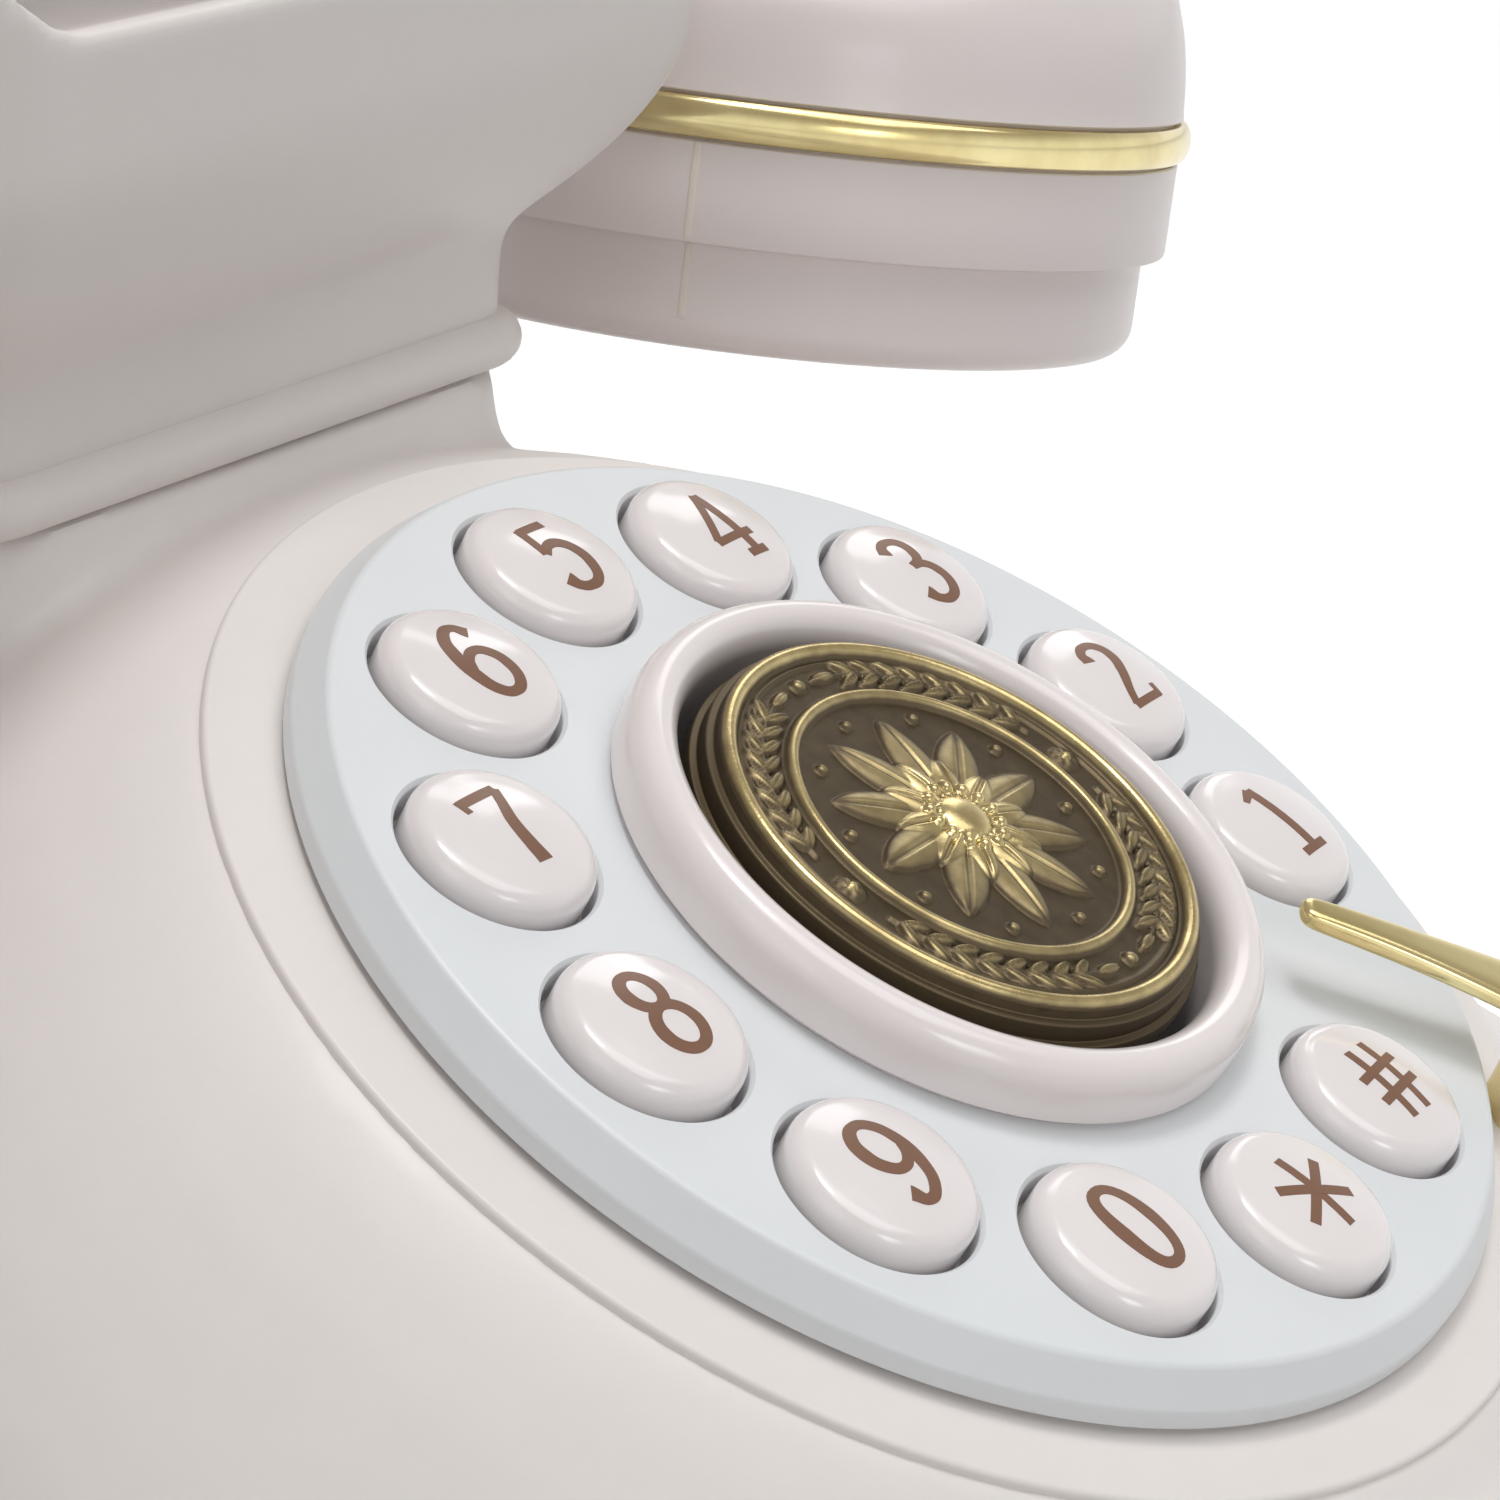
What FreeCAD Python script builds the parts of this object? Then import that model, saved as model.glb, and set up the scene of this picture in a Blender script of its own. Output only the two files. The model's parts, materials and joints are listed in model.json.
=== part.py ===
import FreeCAD, Part
import math
import os

# A small bedroom telephone with a round push-button dial, a waisted neck and a bell-ended handset.
# Millimetres. +Z is up, +X runs along the handset, -Y is the front. The table is at Z = 0.

# Body
base_width = 176.0
base_depth = 150.0
base_corner = 54.0
foot_height = 2.5
wall = 2.5
collar_z = 66.0
collar_proud = 1.0
collar_corner = 8.0
collar_flare = 2.2
collar_curve = 2.2
collar_levels = 6
roof_z = 60.0
roof_corner = 14.0
back_corner_share = 0.55
corner_from = 0.25
corner_to = 0.6
flank_start = 58.5
flank_softness = 4.0
flank_power = 0.85
back_belly = 2.0
back_hollow = 1.6
front_slope = 29.3
front_softness = 10.0
body_levels = 14
throat_inset = 3.75

# Neck and cradle
neck_y = 39.0
neck_width = 54.0
neck_depth = 28.4
neck_corner = 4.0
bead_radius = 1.7
waist_top = 75.5
waist_softness = 1.0
shoulder_z = 90.0
cradle_width = 75.0
cradle_depth = 47.0
cradle_corner = 7.5
horn_top = 116.0
horn_flare = 1.0
horn_width = 5.0
horn_round = 4.5
saddle_lip = 96.6
saddle_corner = 3.0
trough_floor = 92.0
trough_radius = 46.0
cradle_levels = 14

# Dial
dial_y = -23.0
dial_z = 50.0
dial_tilt = 26.2
plate_radius = 38.0
plate_top_radius = 36.6
plate_side = 3.15
plate_thickness = 2.4
plate_spigot = 37.0
plate_seat = 5.5
spigot_wall = 1.6
pad_radius = 42.0
pad_drop = 3.8
pad_flare = 2.0
pad_depth = 12.0
slope_drop = 3.4
fit_gap = 0.1

# Keys
key_names = ["1", "2", "3", "4", "5", "6", "7", "8", "9", "0", "star", "hash"]
key_circle = 28.7
key_first_angle = -20.4
key_pitch_angle = 28.45
key_hole = 5.95
key_hole_lip = 0.5
key_radius = 5.45
key_height = 2.0
key_crown = 0.5
key_edge = 1.2
key_flange = 6.3
key_flange_top = 2.5
key_flange_thickness = 1.2
key_stem = 2.2
key_travel = 1.5
key_rest_gap = 0.2
mat_thickness = 1.2
board_thickness = 1.6
board_radius = 34.6
pillar_radius = 2.6
pillar_circle = 21.8
pillar_count = 4

# Centre ring and rocking medallion
ring_outer = 20.1
ring_inner = 17.0
ring_height = 4.2
ring_skirt_wall = 1.6
medal_radius = 15.1
medal_top = 4.6
medal_under = 1.0
medal_rim = 1.1
medal_sink = 0.6
medal_inner_ring = 10.6
medal_line = 0.9
medal_step = 0.5
hub_radius = 5.0
hub_depth = 4.4
pin_radius = 0.9
pin_gap = 0.05
pin_drop = 2.2
presser_radius = 1.5
presser_offset = 10.0

# Finger stop
stop_angle = -45.0
stop_tip = 22.7
stop_clear = 3.8
stop_arch = 0.7
stop_thickness = 1.5
stop_tip_width = 2.3
stop_root_width = 5.6
stop_bend = 35.5
stop_foot = 40.3
stop_tenon = 2.5
stop_leg_angle_run = 3.2

# Handset
handle_radius = 12.5
handle_z = 112.0
handset_wall = 2.2
cup_x = 80.0
cup_z = 74.0
cup_lean = 8.3
elbow_radius = 25.0
bell_radius = 33.0
bell_start = 3.0
bell_fill = 3.4
bell_shoulder = 8.5
band_height = 8.9
gold_height = 3.1
gold_proud = 0.6
gold_sink = 0.6
cap_radius = 31.3
cap_height = 7.9
cap_round = 2.2
cap_face = 2.2
cap_spigot = 5.0
cap_dish = 1.6
saddle_gap = 0.3
receiver_radius = 22.0
receiver_height = 9.0
socket_height = 6.5
socket_sink = 2.4
socket_floor = 0.8
microphone_radius = 8.0
microphone_height = 5.0
weight_radius = 6.5
weight_length = 56.0

# Hook switch
plunger_inset = 4.9
plunger_radius = 2.2
plunger_gap = 0.05
yoke_z = 83.2
yoke_height = 3.0
yoke_width = 9.0
yoke_overlap = 1.2
spring_radius = 3.2
spring_wire = 0.55
spring_turns = 4
spring_length = 9.0
spring_seat = 0.5
bracket_thickness = 2.0
hook_switch_x = 12.0
hook_switch_width = 10.0
hook_switch_depth = 6.0
hook_switch_height = 5.0
hook_lever_gap = 0.6
hook_lever_thickness = 0.5

# Inside and under the base
plate_gap = 0.4
base_thickness = 2.5
foot_radius = 7.5
foot_sink = 1.0
foot_inset_x = 32.0
foot_inset_front = 33.0
foot_inset_back = 23.0
boss_radius = 4.0
boss_inset_x = 28.0
boss_inset_front = 49.0
boss_inset_back = 35.0
screw_radius = 1.4
screw_head = 2.7
screw_head_height = 1.5
screw_length = 9.0
screw_sunk = 0.2
main_board_z = 10.0
main_board_width = 84.0
main_board_depth = 40.0
main_board_gap = 21.0
board_post_radius = 3.0
board_post_inset = 4.0
chip_size = (18.0, 9.0, 3.0)
relay_size = (12.0, 10.0, 8.0)
capacitor_radius = 3.0
capacitor_height = 9.0
capacitor_pitch = 8.0
ballast_width = 90.0
ballast_depth = 36.0
ballast_height = 6.0
ballast_gap = 27.0
ballast_corner = 6.0
speaker_radius = 14.0
speaker_height = 6.0
speaker_frame = 2.0
speaker_inset_x = 30.0
speaker_y = 10.0
grille_slots = 5
grille_pitch = 4.5
grille_slot = 1.8
grille_margin = 3.0

# Sockets and switches in the back
jack_z = 13.0
jack_depth = 14.0
jack_wall = 1.6
line_x = -18.0
line_width = 9.8
line_height = 6.8
cord_x = 0.0
cord_width = 7.8
cord_height = 6.4
jack_mouth = 9.0
switch_z = 14.0
switch_first_x = 18.0
switch_pitch = 14.0
switch_travel = 2.5
switch_slot_height = 3.2
knob_gap = 0.4
knob_width = 3.6
knob_sunk = 0.3
knob_groove = 0.5
knob_groove_pitch = 1.1
switch_body_width = 11.0
switch_body_height = 6.5
switch_body_depth = 5.0

up = FreeCAD.Vector(0, 0, 1)
tilt = math.radians(dial_tilt)
lean = math.radians(cup_lean)
notch_radius = handle_radius + saddle_gap
saddle_half = cradle_width / 2 - horn_width
plunger_x = saddle_half - plunger_inset
bracket_top = yoke_z + spring_seat - spring_length
mat_top = plate_seat + key_travel + key_rest_gap
board_top = mat_top + mat_thickness
board_under = board_top + board_thickness
waist_z = collar_z + 2 * bead_radius
pad_rim = pad_radius + pad_flare
pad_edge = pad_drop + pad_flare
main_board_y = base_depth / 2 - main_board_gap - main_board_depth / 2
ballast_y = ballast_gap + ballast_depth / 2 - base_depth / 2
speaker_x = base_width / 2 - speaker_inset_x
over = 2 * horn_top


def vec(x, y, z):
    return FreeCAD.Vector(x, y, z)


def wire_of(start, *moves):
    """A closed outline in the XZ plane. A move is a point, or a middle and an end point of an arc."""
    edges = []
    here = vec(start[0], 0, start[1])
    for move in moves + (start,):
        if isinstance(move[0], tuple):
            middle, end = [vec(p[0], 0, p[1]) for p in move]
            edges.append(Part.Arc(here, middle, end).toShape())
        else:
            end = vec(move[0], 0, move[1])
            if end.distanceToPoint(here) < 1e-6:
                continue
            edges.append(Part.LineSegment(here, end).toShape())
        here = end
    return Part.Wire(edges)


def turned(start, *moves):
    """A solid of revolution about Z from an outline of radius and height."""
    return Part.Face(wire_of(start, *moves)).revolve(vec(0, 0, 0), up, 360)


def disc(radius, low, high):
    return Part.makeCylinder(radius, high - low, vec(0, 0, low))


def tube(outer, inner, low, high):
    return disc(outer, low, high).cut(disc(inner, low, high))


def block(width, depth, height, x, y, low):
    """A box centred on x and y that stands on the height low."""
    return Part.makeBox(width, depth, height, vec(x - width / 2, y - depth / 2, low))


def on_dial(shape):
    """Carry a shape from the dial's own frame, whose zero is the plate's top, to the phone."""
    placed = shape.copy()
    placed.rotate(vec(0, 0, 0), vec(1, 0, 0), dial_tilt)
    placed.translate(vec(0, dial_y, dial_z))
    return placed


def turned_to(shape, angle):
    placed = shape.copy()
    placed.rotate(vec(0, 0, 0), up, angle)
    return placed


def rounded_section(half_x, front, back, corner, back_corner, z):
    """A rectangle with round corners in a level plane."""
    cut = corner * (1 - math.sqrt(0.5))
    back_cut = back_corner * (1 - math.sqrt(0.5))
    right = [
        Part.LineSegment(vec(corner - half_x, front, z), vec(half_x - corner, front, z)),
        Part.Arc(vec(half_x - corner, front, z), vec(half_x - cut, front + cut, z),
                 vec(half_x, front + corner, z)),
        Part.LineSegment(vec(half_x, front + corner, z), vec(half_x, back - back_corner, z)),
        Part.Arc(vec(half_x, back - back_corner, z), vec(half_x - back_cut, back - back_cut, z),
                 vec(half_x - back_corner, back, z)),
    ]
    left = [
        Part.LineSegment(vec(half_x - back_corner, back, z), vec(back_corner - half_x, back, z)),
        Part.Arc(vec(back_corner - half_x, back, z), vec(back_cut - half_x, back - back_cut, z),
                 vec(-half_x, back - back_corner, z)),
        Part.LineSegment(vec(-half_x, back - back_corner, z), vec(-half_x, front + corner, z)),
        Part.Arc(vec(-half_x, front + corner, z), vec(cut - half_x, front + cut, z),
                 vec(corner - half_x, front, z)),
    ]
    return Part.Wire([edge.toShape() for edge in right + left])


def eased(distance, softness):
    """A ramp that is nothing below zero and follows the distance above it, with a soft turn between."""
    return (distance + math.hypot(distance, softness)) / 2


def flank_share(z):
    """How far the flanks have spread at a height: 0 under the collar, 1 at the table."""
    start = eased(flank_start - collar_z, flank_softness)
    spread = eased(flank_start - z, flank_softness) - start
    return (spread / (eased(flank_start, flank_softness) - start)) ** flank_power


def slope_reach(z):
    """How far the dial's slope is behind the base's front at a height, eased to nothing below."""
    slope_y = dial_y + slope_drop * math.sin(tilt)
    slope_z = dial_z - slope_drop * math.cos(tilt)
    slope = slope_y + (z - slope_z) / math.tan(math.radians(front_slope))
    return eased(slope + base_depth / 2, front_softness)


def body_front(z):
    """The front of the body at a height: the dial's slope, easing into the base's upright front."""
    return slope_reach(z) - slope_reach(foot_height) - base_depth / 2


def body_back(z):
    """The outer face of the back wall at a height."""
    back_top = neck_y + neck_depth / 2 + collar_proud
    return back_top + (base_depth / 2 - back_top) * (1 - (z / collar_z) ** back_belly) ** back_hollow


def body_corner(z):
    """The corner radius of the body's outline, small at the roof and wide at the base."""
    step = min(max((flank_share(z) - corner_from) / (corner_to - corner_from), 0.0), 1.0)
    return roof_corner + (base_corner - roof_corner) * step ** 2 * (3 - 2 * step)


def body_section(z, inset, drop):
    """The body's outline at a height, drawn in by inset and lowered by drop."""
    half_top = neck_width / 2 + collar_proud
    half_x = half_top + (base_width / 2 - half_top) * flank_share(z + drop) - inset
    corner = body_corner(z + drop)
    return rounded_section(half_x, body_front(z + drop) + inset, body_back(z + drop) - inset,
                           corner - inset, back_corner_share * corner - inset, z)


def body_form(low, high, inset, drop):
    """The body between two heights, as one smooth skin through level outlines."""
    step = (high - low) / (body_levels - 1)
    sections = [body_section(low + step * i, inset, drop) for i in range(body_levels)]
    return Part.makeLoft(sections, True, False)


def collar_form():
    """The hollow-sided collar between the roof and the neck."""
    low = roof_z - wall
    sections = []
    for i in range(collar_levels):
        z = low + (collar_z - low) * i / (collar_levels - 1)
        flare = collar_flare * ((collar_z - z) / (collar_z - roof_z)) ** collar_curve
        grow = collar_proud + flare
        sections.append(cradle_section(neck_width / 2 + grow, neck_depth / 2 + grow, collar_corner + flare, z))
    return Part.makeLoft(sections, True, False)


def make_body_shell():
    outer = body_form(foot_height, roof_z, 0, 0).fuse(collar_form())
    pad = turned((0, -pad_depth), (pad_rim, -pad_depth), (pad_rim, -pad_edge),
                 ((pad_radius + pad_flare / 4, -pad_drop - pad_flare / 3), (pad_radius - 1, -pad_drop)),
                 (0, -pad_drop))
    skin = outer.cut(on_dial(disc(pad_rim, -pad_edge, over))).fuse(on_dial(pad))
    hollow = body_form(foot_height - 1, roof_z - wall, wall, wall)
    hollow = hollow.cut(on_dial(disc(pad_rim + wall, -pad_edge - wall, over)))
    well = disc(plate_spigot + fit_gap, -plate_seat, 0)
    hole = disc(plate_spigot - spigot_wall, -2 * pad_depth, 0)
    shell = skin.cut(hollow).cut(on_dial(well.fuse(hole)))
    shell = shell.cut(block(neck_width - 2 * throat_inset, neck_depth - 2 * throat_inset, over, 0, neck_y,
                            roof_z - 2 * wall))
    for x, y in boss_places():
        boss = Part.makeCylinder(boss_radius, collar_z, vec(x, y, foot_height + base_thickness))
        pilot = Part.makeCylinder(screw_radius, screw_length, vec(x, y, foot_height))
        shell = shell.fuse(boss.common(skin)).cut(pilot)
    for cut in rear_cuts():
        shell = shell.cut(cut)
    shell = shell.cut(on_dial(stop_tenon_form(fit_gap)))
    return shell.removeSplitter()


def rear_cuts():
    """The openings through the back wall for the two sockets and the two slide switches."""
    y = base_depth / 2
    cuts = [block(line_width, 4 * wall, line_height, line_x, y, jack_z - line_height / 2),
            block(cord_width, 4 * wall, cord_height, cord_x, y, jack_z - cord_height / 2)]
    for i in range(2):
        x = switch_first_x + i * switch_pitch
        cuts.append(block(knob_width + switch_travel + 2 * knob_gap, 4 * wall, switch_slot_height, x, y,
                          switch_z - switch_slot_height / 2))
    return cuts


def rear_wall_inside(z):
    """The inner face of the back wall, flat between the corners, at a height."""
    return body_back(z + wall) - wall


def cradle_section(half_x, half_y, corner, z):
    return rounded_section(half_x, neck_y - half_y, neck_y + half_y, corner, corner, z)


def cradle_form(inset, low, high):
    """The neck and cradle block: a straight waist that swells through a soft curve to the horns."""
    grow_x = (cradle_width - neck_width) / 2
    grow_y = (cradle_depth - neck_depth) / 2
    swell = shoulder_z - waist_top
    sections = []
    for i in range(cradle_levels):
        z = low + (high - low) * i / (cradle_levels - 1)
        share = 1 - (1 - min(eased(z - waist_top, waist_softness) / swell, 1)) ** 2
        flare = horn_flare * max(z - shoulder_z, 0) / (horn_top - shoulder_z)
        corner = neck_corner + (cradle_corner - neck_corner) * share - inset / 2
        sections.append(cradle_section(neck_width / 2 + grow_x * share + flare - inset,
                                       neck_depth / 2 + grow_y * share + flare - inset, corner, z))
    return Part.makeLoft(sections, True, False)


def bead_form():
    """The round moulding at the foot of the neck."""
    half_x = neck_width / 2
    half_y = neck_depth / 2
    z = collar_z + bead_radius
    path = cradle_section(half_x, half_y, neck_corner, z)
    circle = Part.Circle(vec(0, neck_y - half_y, z), vec(1, 0, 0), bead_radius).toShape()
    return path.makePipeShell([Part.Wire([circle])], True, False)


def crown_form(width):
    """An upright band whose top corners are round, to shape the horns from the front or the side."""
    half = width / 2
    soft = horn_round * (1 - math.sqrt(0.5))
    outline = wire_of((-half, 0), (half, 0), (half, horn_top - horn_round),
                      ((half - soft, horn_top - soft), (half - horn_round, horn_top)),
                      (horn_round - half, horn_top),
                      ((soft - half, horn_top - soft), (-half, horn_top - horn_round)))
    band = Part.Face(outline).extrude(vec(0, over, 0))
    band.translate(vec(0, -over / 2, 0))
    return band


def saddle_form(half, floor, bend):
    """What is taken out between two rows of horns: a round-bottomed channel with a flared mouth."""
    soft = 1 - math.sqrt(0.5)
    lip = horn_round / 2
    top = horn_top + 1
    channel = wire_of((-half - lip, top), (-half - lip, horn_top),
                      ((-half - lip * soft, horn_top - lip * soft), (-half, horn_top - lip)),
                      (-half, floor + bend), ((-half + bend * soft, floor + bend * soft), (-half + bend, floor)),
                      (half - bend, floor), ((half - bend * soft, floor + bend * soft), (half, floor + bend)),
                      (half, horn_top - lip), ((half + lip * soft, horn_top - lip * soft), (half + lip, horn_top)),
                      (half + lip, top))
    form = Part.Face(channel).extrude(vec(0, over, 0))
    form.translate(vec(0, -over / 2, 0))
    return form


def trough_form():
    """The hollow behind the saddle's two lips, which leaves room below the handle."""
    length = 2 * (saddle_half - saddle_corner)
    return Part.makeCylinder(trough_radius, length, vec(-length / 2, neck_y, trough_floor + trough_radius),
                             vec(1, 0, 0))


def make_cradle_housing():
    """Neck, bead and four horns. The handle lies in the horns' notches, over the trough."""
    foot = Part.Face(cradle_section(neck_width / 2, neck_depth / 2, neck_corner, collar_z))
    foot = foot.extrude(vec(0, 0, 2 * bead_radius))
    body = cradle_form(0, waist_z, horn_top)
    side = crown_form(cradle_depth + 2 * horn_flare)
    side.rotate(vec(0, 0, 0), up, 90)
    notch = saddle_form(notch_radius, handle_z - notch_radius, notch_radius - 0.01)
    notch.rotate(vec(0, 0, 0), up, 90)
    for tool in (side, notch):
        tool.translate(vec(0, neck_y, 0))
    body = body.common(crown_form(cradle_width + 2 * horn_flare)).common(side)
    saddle = saddle_form(saddle_half, saddle_lip, saddle_corner)
    body = body.cut(saddle).cut(notch).cut(trough_form())
    body = body.fuse(foot).fuse(bead_form())
    body = body.cut(cradle_form(wall, collar_z - 1, trough_floor - wall))
    for x in (-plunger_x, plunger_x):
        low = yoke_z + yoke_height
        body = body.cut(Part.makeCylinder(plunger_radius + plunger_gap, horn_top - low, vec(x, neck_y, low)))
    return body


def make_dial_plate():
    plate = turned((0, -plate_thickness), (plate_spigot - spigot_wall, -plate_thickness),
                   (plate_spigot - spigot_wall, -plate_seat), (plate_spigot, -plate_seat),
                   (plate_spigot, -plate_side), (plate_radius, -plate_side),
                   (plate_radius, 1 - plate_side), (plate_top_radius, 0), (0, 0))
    plate = plate.cut(disc(ring_inner + ring_skirt_wall + fit_gap, -plate_seat, 1))
    lip = turned((0, -plate_seat), (key_hole, -plate_seat), (key_hole, -key_hole_lip),
                 (key_hole + key_hole_lip, 0), (0, 0))
    for i in range(len(key_names)):
        plate = plate.cut(at_key(lip, i))
    pillar = disc(pillar_radius, -board_top, -plate_thickness)
    pillar = pillar.cut(disc(screw_radius, -board_top, 1 - plate_seat))
    for place in at_pillars(pillar):
        plate = plate.fuse(place)
    return on_dial(plate)


def at_pillars(shape):
    """Copies of a shape at the dial plate's screw pillars, each between two keys."""
    copies = []
    for i in range(pillar_count):
        placed = shape.copy()
        placed.translate(vec(pillar_circle, 0, 0))
        copies.append(turned_to(placed, key_first_angle + key_pitch_angle * (2.5 + 3 * i)))
    return copies


def at_key(shape, index):
    """Move a shape from the dial's centre to a key, on its ring."""
    angle = math.radians(key_first_angle + index * key_pitch_angle)
    placed = shape.copy()
    placed.translate(vec(key_circle * math.cos(angle), key_circle * math.sin(angle), 0))
    return placed


def make_key(index):
    """A push button: crowned cap, flange under the plate and a stem down to the mat."""
    edge = key_height - key_crown - key_edge
    soft = key_edge * (1 - math.sqrt(0.5))
    under = key_flange_top + key_flange_thickness
    flat = key_radius - key_edge
    ball = (flat ** 2 + key_crown ** 2) / (2 * key_crown)
    middle = key_height - ball + math.sqrt(ball ** 2 - flat ** 2 / 4)
    key = turned((0, -plate_seat), (key_stem, -plate_seat), (key_stem, -under),
                 (key_flange, -under), (key_flange, -key_flange_top), (key_radius, -key_flange_top),
                 (key_radius, edge),
                 ((key_radius - soft, edge + key_edge - soft), (flat, edge + key_edge)),
                 ((flat / 2, middle), (0, key_height)))
    return on_dial(at_key(key, index))


def make_key_mat():
    """The rubber mat, its domes drawn pressed down so that the keys have their travel."""
    mat = tube(board_radius, hub_radius, -board_top, -mat_top)
    for hole in at_pillars(disc(pillar_radius + fit_gap, -board_top, -mat_top)):
        mat = mat.cut(hole)
    return on_dial(mat)


def make_keypad_board():
    board = disc(board_radius, -board_under, -board_top)
    for hole in at_pillars(disc(screw_radius, -board_under, -board_top)):
        board = board.cut(hole)
    return on_dial(board)


def make_keypad_screws():
    screw = disc(screw_radius, -board_under, -plate_seat - 1)
    screw = screw.fuse(disc(screw_head, -board_under - screw_head_height, -board_under))
    return Part.makeCompound([on_dial(place) for place in at_pillars(screw)])


def make_centre_ring():
    """The round-topped white ring, with a skirt below that holds the rocker pin."""
    skirt = ring_inner + ring_skirt_wall
    middle = (ring_outer + ring_inner) / 2
    ring = turned((ring_inner, -plate_seat), (skirt, -plate_seat), (skirt, 0), (ring_outer, 0),
                  (ring_outer, ring_height / 2), ((middle, ring_height), (ring_inner, ring_height / 2)))
    ring = ring.cut(Part.makeCylinder(pin_radius, 4 * ring_outer, vec(-2 * ring_outer, 0, -pin_drop),
                                      vec(1, 0, 0)))
    return on_dial(ring)


def make_rocker_pin():
    reach = ring_inner + ring_skirt_wall
    return on_dial(Part.makeCylinder(pin_radius, 2 * reach, vec(-reach, 0, -pin_drop), vec(1, 0, 0)))


def make_medallion():
    """The rocking button: a stepped disc with a raised rim, an inner ring and two studs."""
    floor = medal_top - medal_sink
    rim = medal_radius - medal_rim
    line = medal_line / 2
    steps = [medal_radius + medal_step, medal_radius + 2 * medal_step]
    fall = (medal_top - medal_under) / 3
    medal = turned((0, medal_under), (steps[1], medal_under), (steps[1], medal_under + fall),
                   (steps[0], medal_under + fall), (steps[0], medal_under + 2 * fall),
                   (medal_radius, medal_under + 2 * fall), (medal_radius, medal_top), (rim, medal_top),
                   (rim, floor), (medal_inner_ring + line, floor),
                   ((medal_inner_ring, floor + line), (medal_inner_ring - line, floor)), (0, floor))
    for side in (-1, 1):
        stud = Part.makeSphere(medal_line, vec(side * (rim + medal_inner_ring) / 2, 0, floor))
        presser = disc(presser_radius, -plate_seat - key_rest_gap, medal_under)
        presser.translate(vec(0, side * presser_offset, 0))
        medal = medal.fuse(stud).fuse(presser)
    hub = disc(hub_radius, -hub_depth, medal_under)
    bore = Part.makeCylinder(pin_radius + pin_gap, 4 * hub_radius, vec(-2 * hub_radius, 0, -pin_drop),
                             vec(1, 0, 0))
    return on_dial(medal.fuse(hub).cut(bore))


def stop_tenon_form(gap):
    """The part of the finger stop's leg that enters the pad."""
    half = stop_root_width / 2
    tenon = Part.makeBox(stop_thickness + 2 * gap, 2 * (half + gap), stop_tenon,
                         vec(stop_foot - gap, -half - gap, -pad_drop - stop_tenon))
    return turned_to(tenon, stop_angle)


def make_finger_stop():
    """A tapered gilt blade over the dial, bent down to a leg in the pad outside the plate."""
    low = stop_clear
    high = stop_clear + stop_thickness
    knee = stop_bend
    outside = stop_foot + stop_thickness
    side = wire_of((stop_tip, low), ((stop_tip + 6, low + stop_arch), (knee, low)),
                   (stop_foot, -pad_drop), (outside, -pad_drop), (knee + stop_leg_angle_run, high),
                   ((stop_tip + 8, high + stop_arch), (stop_tip, high)))
    side = Part.Face(side).extrude(vec(0, 2 * stop_root_width, 0))
    side.translate(vec(0, -stop_root_width, 0))
    tip = stop_tip_width / 2
    root = stop_root_width / 2
    plan = Part.Wire([
        Part.Arc(vec(stop_tip + tip, -tip, 0), vec(stop_tip, 0, 0), vec(stop_tip + tip, tip, 0)).toShape(),
        Part.LineSegment(vec(stop_tip + tip, tip, 0), vec(knee, root, 0)).toShape(),
        Part.LineSegment(vec(knee, root, 0), vec(outside + 1, root, 0)).toShape(),
        Part.LineSegment(vec(outside + 1, root, 0), vec(outside + 1, -root, 0)).toShape(),
        Part.LineSegment(vec(outside + 1, -root, 0), vec(knee, -root, 0)).toShape(),
        Part.LineSegment(vec(knee, -root, 0), vec(stop_tip + tip, -tip, 0)).toShape()])
    plan = Part.Face(plan).extrude(vec(0, 0, 4 * pad_drop))
    plan.translate(vec(0, 0, -pad_drop))
    blade = turned_to(side.common(plan), stop_angle)
    return on_dial(blade.fuse(stop_tenon_form(0)))


def cup_frame(shape, side):
    """Carry a shape from a cup's own frame, whose zero is the gold ring, to the phone."""
    placed = shape.copy()
    placed.rotate(vec(0, 0, 0), vec(0, 1, 0), side * cup_lean)
    placed.translate(vec(side * cup_x, neck_y, cup_z))
    return placed


def elbow_sections(inset):
    """Round sections from the straight handle round the elbow and down the right-hand bell."""
    turn = math.pi / 2 + lean
    reach = elbow_radius * math.sin(turn)
    fall = elbow_radius * (1 - math.cos(turn))
    straight = (handle_z - fall - cup_z) / math.cos(lean)
    start_x = cup_x + straight * math.sin(lean) - reach
    length = elbow_radius * turn + straight
    places = [(start_x - elbow_radius / 2, 0, 0.0), (start_x, 0, 0.0)]
    for share in (0.2, 0.38, 0.55, 0.72):
        angle = turn * share
        places.append((start_x + elbow_radius * math.sin(angle), angle, elbow_radius * angle / length))
    wires = []
    for x, angle, along in places:
        z = handle_z - elbow_radius * (1 - math.cos(angle))
        wires.append(round_section(x, z, angle, flare(along) - inset))
    for height in (bell_shoulder, 0):
        x = cup_x + height * math.sin(lean)
        z = cup_z + height * math.cos(lean)
        wires.append(round_section(x, z, turn, flare(1 - height / length) - inset))
    return wires, start_x - elbow_radius / 2


def flare(along):
    """The handset's radius along the elbow: the handle's at 0 and the bell's at 1."""
    return handle_radius + (bell_radius - handle_radius) * (1 - (1 - along ** bell_start) ** bell_fill)


def round_section(x, z, angle, radius):
    normal = vec(math.cos(angle), 0, -math.sin(angle))
    return Part.Wire([Part.Circle(vec(x, neck_y, z), normal, radius).toShape()])


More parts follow.
